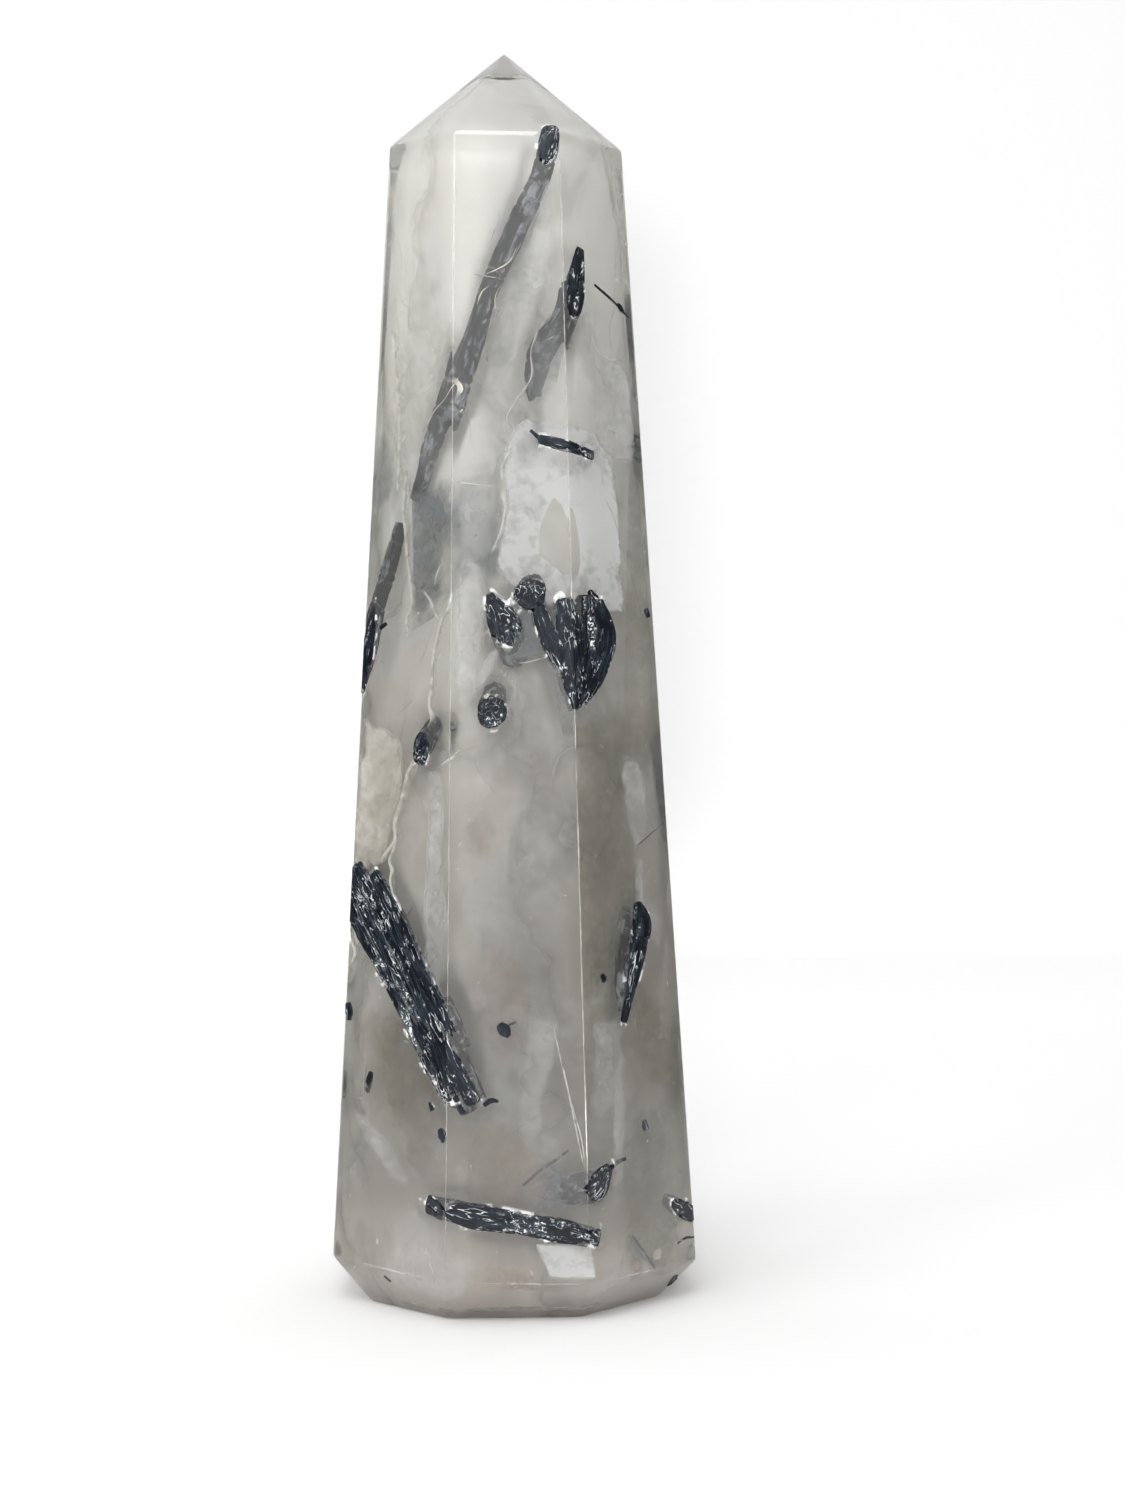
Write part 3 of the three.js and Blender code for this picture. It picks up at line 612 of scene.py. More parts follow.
# Thin needles and small grains of tourmaline: stations as for the crystals
NEEDLES = [
    [(FRONT_RIGHT, -0.5, 95.5, 0.02, 0.12, 0.12), (FRONT_RIGHT, 1.9, 94.4, 0.1, 0.14, 0.14),
     (FRONT_RIGHT, 4.2, 93.0, 0.05, 0.10, 0.10)],
    [(FRONT, 1.9, 81.3, 0.05, 0.14, 0.16), (FRONT, 2.5, 80.8, 0.2, 0.18, 0.2), (FRONT, 3.0, 80.5, 0.3, 0.15, 0.2)],
    [(FRONT_RIGHT, -1.2, 7.1, 0.5, 0.10, 0.10), (FRONT_RIGHT, 0.4, 5.4, 0.8, 0.13, 0.13),
     (FRONT_RIGHT, 1.7, 3.7, 0.5, 0.10, 0.10)],
    [(FRONT_RIGHT, 4.9, 5.5, 0.05, 0.09, 0.09), (FRONT_RIGHT, 6.1, 5.8, 0.1, 0.12, 0.12),
     (FRONT_RIGHT, 7.3, 5.7, 0.05, 0.10, 0.10)],
    [(FRONT, 4.7, 15.7, 0.3, 0.10, 0.10), (FRONT, 3.6, 14.9, 0.4, 0.13, 0.13), (FRONT, 2.1, 13.9, 0.5, 0.13, 0.13),
     (FRONT, 0.6, 12.6, 0.6, 0.09, 0.09)],
    [(FRONT_RIGHT, 6.0, 44.9, 0.5, 0.05, 0.05), (FRONT_RIGHT, 4.0, 43.8, 0.7, 0.06, 0.06),
     (FRONT_RIGHT, 2.3, 42.9, 0.8, 0.05, 0.05)],
    [(RIGHT, 2.0, 98.0, 0.05, 0.10, 0.10), (RIGHT, -1.2, 95.0, 0.2, 0.14, 0.14), (RIGHT, -3.0, 92.0, 0.1, 0.10, 0.10)],
    [(BACK, 3.4, 66.0, 0.1, 0.10, 0.10), (BACK, 4.6, 62.2, 0.2, 0.14, 0.14), (BACK, 5.0, 59.0, 0.1, 0.10, 0.10)],
    [(BACK_LEFT, 2.6, 30.0, 0.1, 0.10, 0.10), (BACK_LEFT, 0.2, 26.6, 0.3, 0.15, 0.15),
     (BACK_LEFT, -1.9, 24.0, 0.1, 0.10, 0.10)],
    [(LEFT, -2.6, 84.0, 0.1, 0.10, 0.10), (LEFT, 0.2, 81.0, 0.3, 0.15, 0.15), (LEFT, 2.4, 79.0, 0.1, 0.10, 0.10)],
]
GRAINS = [
    [(FRONT_RIGHT, 2.7, 94.1, -0.05, 0.22, 0.25), (FRONT_RIGHT, 3.1, 93.8, 0.1, 0.34, 0.3),
     (FRONT_RIGHT, 3.5, 93.5, 0.1, 0.22, 0.22)],
    [(FRONT_RIGHT, -3.1, 66.5, 0.1, 0.25, 0.3), (FRONT_RIGHT, -2.6, 66.2, 0.15, 0.42, 0.4),
     (FRONT_RIGHT, -2.1, 65.9, 0.1, 0.2, 0.3)],
    [(FRONT_LEFT, -3.6, 63.5, 0.0, 0.22, 0.2), (FRONT_LEFT, -2.8, 63.9, 0.1, 0.22, 0.2)],
    [(FRONT_RIGHT, 4.7, 65.2, 0.1, 0.3, 0.3), (FRONT_RIGHT, 5.0, 64.5, 0.1, 0.35, 0.3)],
    [(FRONT, -1.4, 27.1, -0.1, 0.4, 0.4), (FRONT, -0.9, 26.5, 0.0, 0.55, 0.5), (FRONT, -0.6, 26.1, 0.1, 0.3, 0.3)],
    [(FRONT, -0.6, 27.0, 0.2, 0.12, 0.12), (FRONT, 0.1, 27.3, 0.3, 0.12, 0.12)],
    [(FRONT_LEFT, 4.9, 20.0, 0.0, 0.3, 0.3), (FRONT_LEFT, 5.3, 19.4, 0.05, 0.36, 0.35)],
    [(FRONT_LEFT, 6.3, 17.7, 0.05, 0.3, 0.3), (FRONT_LEFT, 6.6, 17.2, 0.1, 0.5, 0.4),
     (FRONT_LEFT, 6.8, 16.6, 0.2, 0.25, 0.3)],
    [(FRONT_LEFT, -3.0, 22.0, 0.0, 0.3, 0.3), (FRONT_LEFT, -3.3, 21.2, 0.2, 0.4, 0.4),
     (FRONT_LEFT, -3.8, 20.2, 0.8, 0.3, 0.3)],
    [(FRONT_LEFT, -6.5, 28.2, 0.0, 0.4, 0.4), (FRONT_LEFT, -6.3, 27.4, 0.1, 0.5, 0.4),
     (FRONT_LEFT, -6.3, 26.7, 0.2, 0.3, 0.3)],
    [(FRONT_RIGHT, -4.0, 31.3, 0.0, 0.28, 0.25), (FRONT_RIGHT, -3.7, 30.7, 0.0, 0.36, 0.3)],
    [(FRONT_RIGHT, 0.9, 17.4, -0.05, 0.34, 0.3), (FRONT_RIGHT, 1.1, 16.6, 0.0, 0.46, 0.35)],
    [(FRONT_LEFT, -1.0, 3.1, 0.15, 0.2, 0.2), (FRONT_LEFT, -0.5, 2.6, 0.4, 0.25, 0.2)],
    [(FRONT_RIGHT, 5.6, 2.0, 1.0, 0.4, 0.4), (FRONT_RIGHT, 5.9, 0.9, 1.5, 0.6, 0.5)],
    [(FRONT_RIGHT, -1.9, 14.3, 0.1, 0.16, 0.2), (FRONT_RIGHT, -2.9, 14.1, 0.3, 0.22, 0.2),
     (FRONT_RIGHT, -4.0, 13.6, 0.2, 0.25, 0.25)],
    [(FRONT, -2.9, 19.9, 0.0, 0.2, 0.2), (FRONT, -2.2, 20.3, 0.1, 0.25, 0.2), (FRONT, -1.6, 20.2, 0.1, 0.14, 0.15)],
    [(RIGHT, -3.4, 64.9, 0.1, 0.4, 0.4), (RIGHT, -3.0, 64.1, 0.3, 0.5, 0.45)],
    [(RIGHT, 3.9, 24.6, 0.1, 0.35, 0.35), (RIGHT, 4.3, 23.9, 0.3, 0.45, 0.4)],
    [(RIGHT, -4.1, 30.2, 0.3, 0.3, 0.3), (RIGHT, -3.8, 29.7, 0.5, 0.3, 0.3)],
    [(BACK_RIGHT, -1.0, 71.0, 0.1, 0.35, 0.35), (BACK_RIGHT, -0.6, 70.2, 0.3, 0.45, 0.45)],
    [(BACK_RIGHT, 3.0, 48.6, 0.2, 0.3, 0.3), (BACK_RIGHT, 3.3, 48.0, 0.4, 0.35, 0.35)],
    [(BACK, 3.1, 21.9, 0.1, 0.4, 0.4), (BACK, 3.6, 21.2, 0.3, 0.5, 0.45)],
    [(BACK, -3.9, 14.2, 0.3, 0.3, 0.3), (BACK, -3.5, 13.7, 0.5, 0.35, 0.35)],
    [(BACK_LEFT, -1.0, 90.1, 0.1, 0.35, 0.35), (BACK_LEFT, -0.6, 89.3, 0.3, 0.4, 0.4)],
    [(BACK_LEFT, 4.0, 44.0, 0.1, 0.35, 0.35), (BACK_LEFT, 4.3, 43.2, 0.3, 0.45, 0.4)],
    [(LEFT, 2.2, 52.6, 0.1, 0.4, 0.4), (LEFT, 2.6, 51.8, 0.3, 0.5, 0.45)],
    [(LEFT, -3.0, 37.9, 0.2, 0.3, 0.3), (LEFT, -2.6, 37.4, 0.4, 0.35, 0.35)],
]


# Veils and healed cracks inside the stone

# A crack is a path of face, way across, height and depth; then its width at the surface, its reach inwards and lean
CRACKS = [
    ([(FRONT_LEFT, -0.7, 78.4, 0.1), (FRONT_LEFT, -1.0, 76.0, 0.1), (FRONT_LEFT, -1.1, 74.5, 0.1),
      (FRONT_LEFT, -0.7, 72.2, 0.1), (FRONT_LEFT, -0.4, 70.1, 0.1), (FRONT_LEFT, 0.1, 67.7, 0.1),
      (FRONT_LEFT, 0.4, 65.5, 0.1), (FRONT_LEFT, -0.2, 64.3, 0.1), (FRONT_LEFT, 0.0, 62.6, 0.1)], 0.26, 2.2, 0.3),
    ([(FRONT_LEFT, -3.6, 92.0, 0.4), (FRONT_LEFT, -2.6, 87.0, 0.3), (FRONT_LEFT, -2.1, 83.0, 0.2),
      (FRONT_LEFT, -2.0, 75.8, 0.2)], 0.14, 2.5, 0.5),
    ([(FRONT_LEFT, 1.8, 66.9, 0.1), (FRONT_LEFT, 2.8, 65.9, 0.1), (FRONT_LEFT, 3.5, 64.7, 0.1),
      (FRONT_LEFT, 4.3, 63.6, 0.1)], 0.22, 1.0, 0.4),
    ([(FRONT_LEFT, 5.7, 66.4, 0.1), (FRONT_LEFT, 5.3, 64.9, 0.1), (FRONT_LEFT, 4.4, 63.7, 0.1),
      (FRONT_LEFT, 4.0, 62.4, 0.1), (FRONT_LEFT, 3.5, 60.4, 0.1), (FRONT_LEFT, 3.4, 58.1, 0.1),
      (FRONT_LEFT, 3.2, 56.2, 0.1), (FRONT_LEFT, 3.5, 54.9, 0.1), (FRONT_LEFT, 3.0, 53.9, 0.1)], 0.30, 1.8, 0.3),
    ([(FRONT_LEFT, 4.6, 69.5, 0.1), (FRONT_LEFT, 3.8, 68.4, 0.1), (FRONT_LEFT, 3.4, 67.0, 0.1)], 0.16, 0.9, 0.4),
    ([(FRONT_LEFT, 1.6, 51.3, 0.1), (FRONT_LEFT, 0.5, 49.6, 0.1), (FRONT_LEFT, 0.1, 48.0, 0.1),
      (FRONT_LEFT, -0.5, 46.4, 0.1), (FRONT_LEFT, -1.0, 45.0, 0.1), (FRONT_LEFT, -0.8, 44.0, 0.1),
      (FRONT_LEFT, -2.1, 42.3, 0.1), (FRONT_LEFT, -2.8, 41.4, 0.1)], 0.42, 2.6, 0.2),
    ([(FRONT_LEFT, -0.3, 44.3, 0.1), (FRONT_LEFT, -1.0, 42.8, 0.1), (FRONT_LEFT, -1.5, 41.7, 0.1),
      (FRONT_LEFT, -1.1, 40.8, 0.1), (FRONT_LEFT, -1.3, 40.0, 0.1), (FRONT_LEFT, -0.9, 38.7, 0.1),
      (FRONT_LEFT, -0.5, 37.3, 0.1), (FRONT_LEFT, -0.8, 36.5, 0.1)], 0.34, 1.6, 0.2),
    ([(FRONT_LEFT, -6.9, 35.8, 0.1), (FRONT_LEFT, -6.6, 34.4, 0.1), (FRONT_LEFT, -5.8, 33.1, 0.1),
      (FRONT_LEFT, -6.4, 31.6, 0.1)], 0.5, 1.4, 0.3),
    ([(FRONT, 5.8, 47.0, 0.2), (FRONT, 6.0, 34.0, 0.2), (FRONT, 6.2, 23.0, 0.15), (FRONT, 6.4, 13.4, 0.1)], 0.09, 0.6, 0.2),
    ([(FRONT, 3.4, 27.0, 0.8), (FRONT, 4.7, 21.0, 0.5), (FRONT, 6.0, 15.9, 0.2), (FRONT, 6.2, 13.6, 0.1)], 0.16, 1.0, 0.2),
    ([(FRONT, 4.2, 23.6, 0.5), (FRONT, 5.2, 18.6, 0.3), (FRONT, 6.1, 13.9, 0.1)], 0.16, 0.8, 0.2),
    ([(FRONT_LEFT, 5.2, 76.6, 0.2), (FRONT, -4.0, 76.4, 0.2), (FRONT, -1.4, 76.1, 0.2)], 0.10, 0.8, 0.3),
    ([(FRONT, -2.2, 95.9, 0.7), (FRONT, -1.0, 96.4, 0.9), (FRONT, 0.1, 97.1, 0.9), (FRONT, 0.9, 98.6, 0.5)], 0.16, 0.7, 0.4),
    ([(FRONT, -1.4, 95.1, 0.9), (FRONT, -2.4, 94.4, 0.9), (FRONT, -3.0, 92.8, 0.7)], 0.10, 0.6, 0.4),
    ([(FRONT, -0.5, 95.2, 0.8), (FRONT, -1.2, 94.0, 0.8), (FRONT, -1.1, 91.8, 0.6)], 0.12, 0.7, 0.3),
    ([(FRONT_LEFT, 1.2, 81.6, 0.5), (FRONT_LEFT, 2.6, 83.4, 0.5), (FRONT_LEFT, 4.0, 84.4, 0.4),
      (FRONT, -4.6, 86.4, 0.4)], 0.12, 0.8, 0.3),
    ([(FRONT, -5.0, 84.2, 0.1), (FRONT, -4.5, 85.2, 0.1), (FRONT_LEFT, 5.0, 86.3, 0.1)], 0.75, 0.6, 0.5),
    ([(FRONT, 3.4, 89.7, 0.6), (FRONT, 4.4, 90.2, 0.6)], 0.22, 0.5, 0.3),
    ([(FRONT, 2.9, 91.4, 0.6), (FRONT, 2.0, 88.7, 0.7), (FRONT, 2.0, 86.4, 0.7), (FRONT, 0.4, 83.9, 0.6),
      (FRONT, -0.3, 82.4, 0.5), (FRONT, 0.4, 81.3, 0.4)], 0.09, 0.9, 0.4),
    ([(FRONT, 0.2, 79.9, 0.6), (FRONT, -0.8, 78.1, 0.6), (FRONT, -0.5, 74.9, 0.6), (FRONT, -0.9, 72.3, 0.6),
      (FRONT, -1.9, 69.8, 0.6)], 0.14, 1.6, 0.6),
    ([(FRONT_RIGHT, -1.1, 91.4, 0.5), (FRONT_RIGHT, -0.6, 89.6, 0.5), (FRONT_RIGHT, 1.2, 88.7, 0.5),
      (FRONT_RIGHT, 3.4, 88.8, 0.4)], 0.12, 1.2, 0.5),
    ([(FRONT, 0.3, 59.8, 0.4), (FRONT, 1.8, 60.0, 0.4), (FRONT, 3.3, 60.5, 0.4)], 0.16, 0.7, 0.3),
    ([(FRONT, -4.6, 52.2, 0.5), (FRONT_LEFT, 5.6, 51.0, 0.4), (FRONT_LEFT, 4.4, 50.4, 0.3)], 0.14, 0.8, 0.4),
    ([(RIGHT, -2.2, 74.0, 0.1), (RIGHT, -1.4, 68.0, 0.1), (RIGHT, -2.1, 62.0, 0.1), (RIGHT, -0.6, 56.0, 0.1)],
     0.26, 2.2, 0.3),
    ([(BACK_RIGHT, 1.2, 62.0, 0.1), (BACK_RIGHT, 0.0, 55.0, 0.1), (BACK_RIGHT, 1.4, 47.0, 0.1),
      (BACK_RIGHT, 0.2, 38.0, 0.1)], 0.24, 2.4, -0.3),
    ([(BACK, 3.0, 34.0, 0.1), (BACK, 1.8, 29.0, 0.1), (BACK, 2.6, 23.0, 0.1), (BACK, 1.2, 15.0, 0.1)], 0.30, 2.0, 0.3),
    ([(BACK_LEFT, -2.0, 62.0, 0.1), (BACK_LEFT, -0.4, 54.0, 0.1), (BACK_LEFT, -1.4, 45.0, 0.1),
      (BACK_LEFT, 0.5, 37.0, 0.1)], 0.26, 2.2, 0.3),
    ([(LEFT, 1.0, 72.0, 0.1), (LEFT, 0.0, 66.0, 0.1), (LEFT, 1.1, 58.0, 0.1), (LEFT, -0.4, 49.0, 0.1)],
     0.30, 2.4, -0.3),
]

# A veil spans four corners (lower left, lower right, upper right, upper left); then its finish, waviness, density
# and the softness of its rim
VEILS = {
    "veil_over_cluster": ([(FRONT, -1.4, 65.4, 1.4), (FRONT_RIGHT, 1.9, 64.8, 0.7), (FRONT_RIGHT, 1.5, 81.0, 0.7),
                           (FRONT, -0.4, 83.0, 1.2)], "white", 0.10, 1.3, 0.06),
    "veil_left_of_cluster": ([(FRONT, -5.3, 55.0, 1.6), (FRONT, -3.0, 56.5, 1.4), (FRONT, -1.6, 69.8, 1.8),
                              (FRONT, -5.2, 71.5, 1.6)], "white", 0.3, 0.85, 0.2),
    "veil_under_teardrop": ([(FRONT, -3.9, 56.6, 0.8), (FRONT, -2.2, 58.0, 0.8), (FRONT, -0.8, 61.6, 0.8),
                             (FRONT, -3.3, 60.6, 0.8)], "white", 0.15, 0.7, 0.20),
    "mist_in_smoke": ([(FRONT, -5.0, 68.0, 1.6), (FRONT, -1.2, 69.5, 1.6), (FRONT, -1.0, 80.0, 1.6),
                       (FRONT, -4.8, 79.0, 1.6)], "white", 0.4, 0.5, 0.25),
    "veil_left_edge": ([(FRONT_LEFT, 2.6, 22.0, 2.0), (FRONT_LEFT, 6.6, 26.0, 1.2), (FRONT_LEFT, 5.2, 50.0, 1.2),
                        (FRONT_LEFT, 2.4, 50.0, 1.6)], "white", 0.3, 0.62, 0.30),
    "veil_upper_right": ([(FRONT_RIGHT, -1.6, 79.5, 1.2), (FRONT_RIGHT, 4.6, 78.5, 1.0), (FRONT_RIGHT, 4.2, 88.6, 1.0),
                          (FRONT_RIGHT, 0.6, 88.8, 1.2)], "white", 0.3, 0.55, 0.10),
    "veil_beside_long_rod": ([(FRONT, 0.0, 92.0, 1.6), (FRONT, 4.0, 91.0, 1.0), (FRONT, 4.1, 107.5, 1.0),
                              (FRONT, 2.9, 102.0, 1.4)], "white", 0.3, 0.6, 0.3),
    "veil_right_lens": ([(FRONT_RIGHT, 1.8, 40.8, 0.9), (FRONT_RIGHT, 3.9, 43.4, 0.7), (FRONT_RIGHT, 3.9, 50.5, 0.7),
                         (FRONT_RIGHT, -0.2, 52.0, 0.9)], "white", 0.15, 0.55, 0.16),
    "veil_right_band": ([(FRONT_RIGHT, 1.4, 36.6, 0.9), (FRONT_RIGHT, 2.6, 36.8, 0.8), (FRONT_RIGHT, 3.0, 41.6, 0.8),
                         (FRONT_RIGHT, 1.6, 41.6, 0.9)], "white", 0.12, 0.5, 0.30),
    "veil_right_low": ([(FRONT_RIGHT, -3.6, 11.6, 1.2), (FRONT_RIGHT, -1.6, 12.4, 1.0), (FRONT_RIGHT, -0.6, 27.0, 1.0),
                        (FRONT_RIGHT, -2.0, 26.6, 1.2)], "white", 0.2, 0.5, 0.25),
    "veil_front_low": ([(FRONT, -4.2, 9.8, 2.6), (FRONT, 3.0, 12.5, 2.2), (FRONT, 4.8, 33.0, 2.6),
                        (FRONT, -3.2, 36.0, 3.0)], "white", 0.7, 0.22, 0.20),
    "veil_front_flow": ([(FRONT, -0.4, 12.0, 1.4), (FRONT, 2.0, 13.4, 1.4), (FRONT, 4.4, 30.0, 1.6),
                         (FRONT, 0.4, 29.0, 1.8)], "white", 0.3, 0.35, 0.30),
    "veil_foot_left": ([(FRONT_LEFT, -4.0, 2.5, 2.0), (FRONT, -3.0, 2.0, 2.6), (FRONT, -3.6, 10.5, 2.4),
                        (FRONT_LEFT, -3.0, 12.0, 1.8)], "white", 0.5, 0.35, 0.45),
    "veil_left_slope": ([(FRONT_LEFT, -0.6, 11.0, 1.0), (FRONT_LEFT, 3.8, 11.6, 1.2), (FRONT_LEFT, -1.0, 17.0, 1.0),
                         (FRONT_LEFT, -6.0, 18.5, 0.8)], "white", 0.3, 0.45, 0.30),
    "veil_foot_right": ([(FRONT, 5.2, 1.5, 1.6), (FRONT_RIGHT, 4.0, 3.6, 1.4), (FRONT_RIGHT, 4.6, 7.4, 1.2),
                         (FRONT, 5.8, 3.5, 1.0)], "white", 0.3, 0.25, 0.3),
    "bright_plane_at_foot": ([(FRONT, 2.9, 4.3, 0.5), (FRONT_RIGHT, -6.3, 4.0, 0.5), (FRONT_RIGHT, -6.7, 7.2, 0.5),
                              (FRONT, 1.5, 7.5, 0.5)], "white", 0.02, 1.05, 0.04),
    "veil_front_middle": ([(FRONT, -5.0, 30.0, 2.6), (FRONT, 5.2, 29.0, 2.4), (FRONT, 5.0, 46.0, 2.4),
                           (FRONT, -4.6, 42.0, 2.6)], "white", 0.5, 0.25, 0.25),
    "smoky_left": ([(FRONT_LEFT, 0.2, 63.0, 1.2), (FRONT, -5.4, 65.0, 1.4), (FRONT, -5.0, 77.5, 1.4),
                    (FRONT_LEFT, -0.4, 77.0, 1.2)], "smoky", 0.10, 0.8, 0.40, True),
    "smoky_middle": ([(FRONT, -6.2, 66.0, 1.8), (FRONT, -0.6, 66.4, 2.0), (FRONT, -0.2, 79.0, 2.0),
                      (FRONT, -5.4, 78.0, 1.8)], "smoky", 0.4, 0.75, 0.40),
    "veil_at_base": ([(FRONT, -11.0, 1.3, 4.0), (FRONT, 11.0, 1.3, 4.0), (BACK, -11.0, 1.3, 4.0), (BACK, 11.0, 1.3, 4.0)],
                     "cream", 0.1, 1.0, 0.1),
    "smoke_below_right_rod": ([(FRONT, 0.2, 77.5, 1.3), (FRONT, 3.0, 78.0, 1.3), (FRONT_RIGHT, -3.4, 92.0, 1.3),
                               (FRONT, 2.2, 90.0, 1.3)], "smoky", 0.2, 0.6, 0.45),
    "smoke_beside_long_rod": ([(FRONT, -4.2, 82.0, 1.2), (FRONT, -0.6, 84.0, 1.2), (FRONT, 3.6, 102.0, 1.0),
                               (FRONT, 1.4, 101.0, 1.0)], "smoky", 0.2, 0.35, 0.45),
    "veil_at_lower_edge": ([(FRONT_RIGHT, -6.3, 17.0, 0.5), (FRONT_RIGHT, -0.6, 18.0, 1.0), (FRONT_RIGHT, -0.4, 27.5, 1.0),
                            (FRONT_RIGHT, -6.0, 27.0, 0.5)], "white", 0.15, 0.6, 0.35),
    "brown_above_bar": ([(FRONT, -4.5, 10.5, 1.6), (FRONT, 3.0, 9.8, 1.6), (FRONT, 2.4, 17.5, 1.6), (FRONT, -4.2, 19.0, 1.6)],
                        "brown", 0.3, 0.55, 0.45),
    "smoky_far_left": ([(FRONT_LEFT, -5.6, 74.0, 1.2), (FRONT_LEFT, -2.6, 75.0, 1.2), (FRONT_LEFT, -2.6, 83.0, 1.2),
                        (FRONT_LEFT, -5.4, 83.0, 1.2)], "smoky", 0.2, 0.5, 0.3),
    "smoky_facet": ([(FRONT, -0.2, 60.0, 0.9), (FRONT, 3.4, 60.4, 0.9), (FRONT, 2.6, 65.4, 0.9),
                     (FRONT, -0.2, 65.4, 0.9)], "smoky", 0.02, 0.75, 0.03),
    # A painted shadow: a dark sheet beside the cluster's slanting stub, where its shade falls in the stone.
    "smoky_wedge": ([(FRONT, 4.6, 53.0, 1.0), (FRONT, 5.6, 53.0, 1.0), (FRONT, 4.9, 60.2, 0.9),
                     (FRONT, 3.4, 60.2, 0.9)], "smoky", 0.05, 0.45, 0.10),
    # Dark olive sheets under the front-right and right faces: painted shade on the side away from the light, with some
    # of the stone's own olive tone.
    "dark_right": ([(FRONT_RIGHT, 0.8, 52.0, 1.0), (RIGHT, -5.6, 52.0, 0.9), (RIGHT, -5.0, 78.0, 0.9),
                    (FRONT_RIGHT, 3.6, 79.0, 1.0)], "olive", 0.15, 0.36, 0.05),
    "dark_right_of_edge": ([(FRONT_RIGHT, -6.5, 26.0, 0.3), (FRONT_RIGHT, 2.2, 28.0, 1.6), (FRONT_RIGHT, 3.4, 58.5, 1.6),
                            (FRONT_RIGHT, -5.9, 58.5, 0.3)], "olive", 0.1, 0.35, 0.25, True),
    "olive_patch": ([(FRONT_RIGHT, 0.6, 20.0, 1.0), (FRONT_RIGHT, 6.4, 18.0, 1.0), (FRONT_RIGHT, 6.0, 28.5, 1.0),
                     (FRONT_RIGHT, 0.4, 31.0, 1.0)], "olive", 0.2, 0.75, 0.3),
    "olive_foot": ([(FRONT_RIGHT, -3.6, 1.0, 1.2), (FRONT_RIGHT, 7.0, 2.0, 1.2), (FRONT_RIGHT, 6.6, 21.0, 1.4),
                    (FRONT_RIGHT, -2.0, 17.0, 1.4)], "olive", 0.2, 0.75, 0.25),
    "olive_left_low": ([(FRONT_LEFT, -1.5, 16.0, 1.2), (FRONT_LEFT, 5.4, 12.0, 1.2), (FRONT_LEFT, 4.4, 24.0, 1.2),
                        (FRONT_LEFT, -4.6, 30.0, 1.2)], "olive", 0.3, 0.6, 0.25),
    "smoky_at_wedge": ([(FRONT, -1.0, 10.6, 2.2), (FRONT, 5.4, 9.6, 1.6), (FRONT, 5.4, 15.0, 1.6),
                        (FRONT, -0.2, 12.8, 2.2)], "smoky", 0.2, 0.9, 0.2),
    "dark_band_at_foot": ([(FRONT_RIGHT, -0.6, 5.2, 0.8), (FRONT_RIGHT, 2.0, 3.7, 0.8), (FRONT_RIGHT, 1.6, 4.4, 0.8),
                           (FRONT_RIGHT, -1.9, 7.6, 0.8)], "smoky", 0.05, 0.7, 0.3),
    "cream_area": ([(FRONT_LEFT, -6.8, 40.0, 0.8), (FRONT_LEFT, -2.7, 41.4, 0.9), (FRONT_LEFT, 0.9, 51.6, 0.9),
                    (FRONT_LEFT, -6.2, 57.5, 0.8)], "cream", 0.15, 1.15, 0.08),
    "cream_corner": ([(FRONT_LEFT, -7.2, 29.0, 0.6), (FRONT_LEFT, -5.8, 31.0, 0.6), (FRONT_LEFT, -5.4, 36.0, 0.6),
                      (FRONT_LEFT, -7.0, 37.5, 0.6)], "cream", 0.2, 0.9, 0.15),
    "cream_chip_at_foot": ([(FRONT_RIGHT, 1.3, 4.2, 0.5), (FRONT_RIGHT, 2.8, 4.2, 0.5), (FRONT_RIGHT, 3.0, 5.6, 0.5),
                            (FRONT_RIGHT, 1.5, 5.4, 0.5)], "cream", 0.1, 0.9, 0.15),
    "brown_patch": ([(FRONT, -4.6, 40.5, 1.6), (FRONT, -1.4, 41.0, 1.6), (FRONT, -1.6, 48.0, 1.6),
                     (FRONT, -4.8, 47.0, 1.6)], "brown", 0.2, 0.7, 0.4),
    "brown_patch_low": ([(FRONT, -3.6, 25.0, 2.0), (FRONT, 0.4, 22.0, 2.0), (FRONT, 2.0, 31.0, 1.6),
                         (FRONT, -3.0, 37.0, 1.6)], "brown", 0.3, 0.6, 0.4),
    "brown_foot": ([(FRONT, -4.0, 1.6, 1.0), (FRONT, 3.4, 1.4, 1.0), (FRONT, 2.2, 4.4, 1.0),
                    (FRONT, -3.6, 7.5, 1.0)], "brown", 0.3, 0.6, 0.35),
    "brown_speck": ([(FRONT_RIGHT, -1.5, 3.7, 0.5), (FRONT_RIGHT, -0.1, 3.7, 0.5), (FRONT_RIGHT, 0.0, 5.1, 0.5),
                     (FRONT_RIGHT, -1.3, 5.2, 0.5)], "brown", 0.1, 1.0, 0.3),
    "veil_of_right_side": ([(RIGHT, -5.0, 34.0, 1.6), (RIGHT, 4.6, 40.0, 1.2), (RIGHT, 4.0, 70.0, 1.2),
                            (RIGHT, -1.2, 66.0, 1.6)], "white", 0.4, 0.75, 0.08),
    "smoke_of_right_side": ([(RIGHT, -4.6, 66.0, 1.4), (RIGHT, 4.0, 74.0, 1.6), (RIGHT, 3.8, 92.0, 1.6),
                             (RIGHT, -4.2, 88.0, 1.4)], "smoky", 0.3, 0.6, 0.25),
    "olive_of_right_side": ([(RIGHT, -6.4, 6.0, 1.4), (RIGHT, 6.2, 8.0, 1.4), (RIGHT, 5.6, 26.0, 1.4),
                             (RIGHT, -6.0, 30.0, 1.4)], "olive", 0.3, 0.6, 0.2),
    "veil_of_back_right": ([(BACK_RIGHT, -5.2, 8.0, 1.6), (BACK_RIGHT, 5.0, 11.0, 1.4), (BACK_RIGHT, 4.6, 36.0, 1.4),
                            (BACK_RIGHT, -4.6, 40.0, 1.6)], "white", 0.4, 0.6, 0.10),
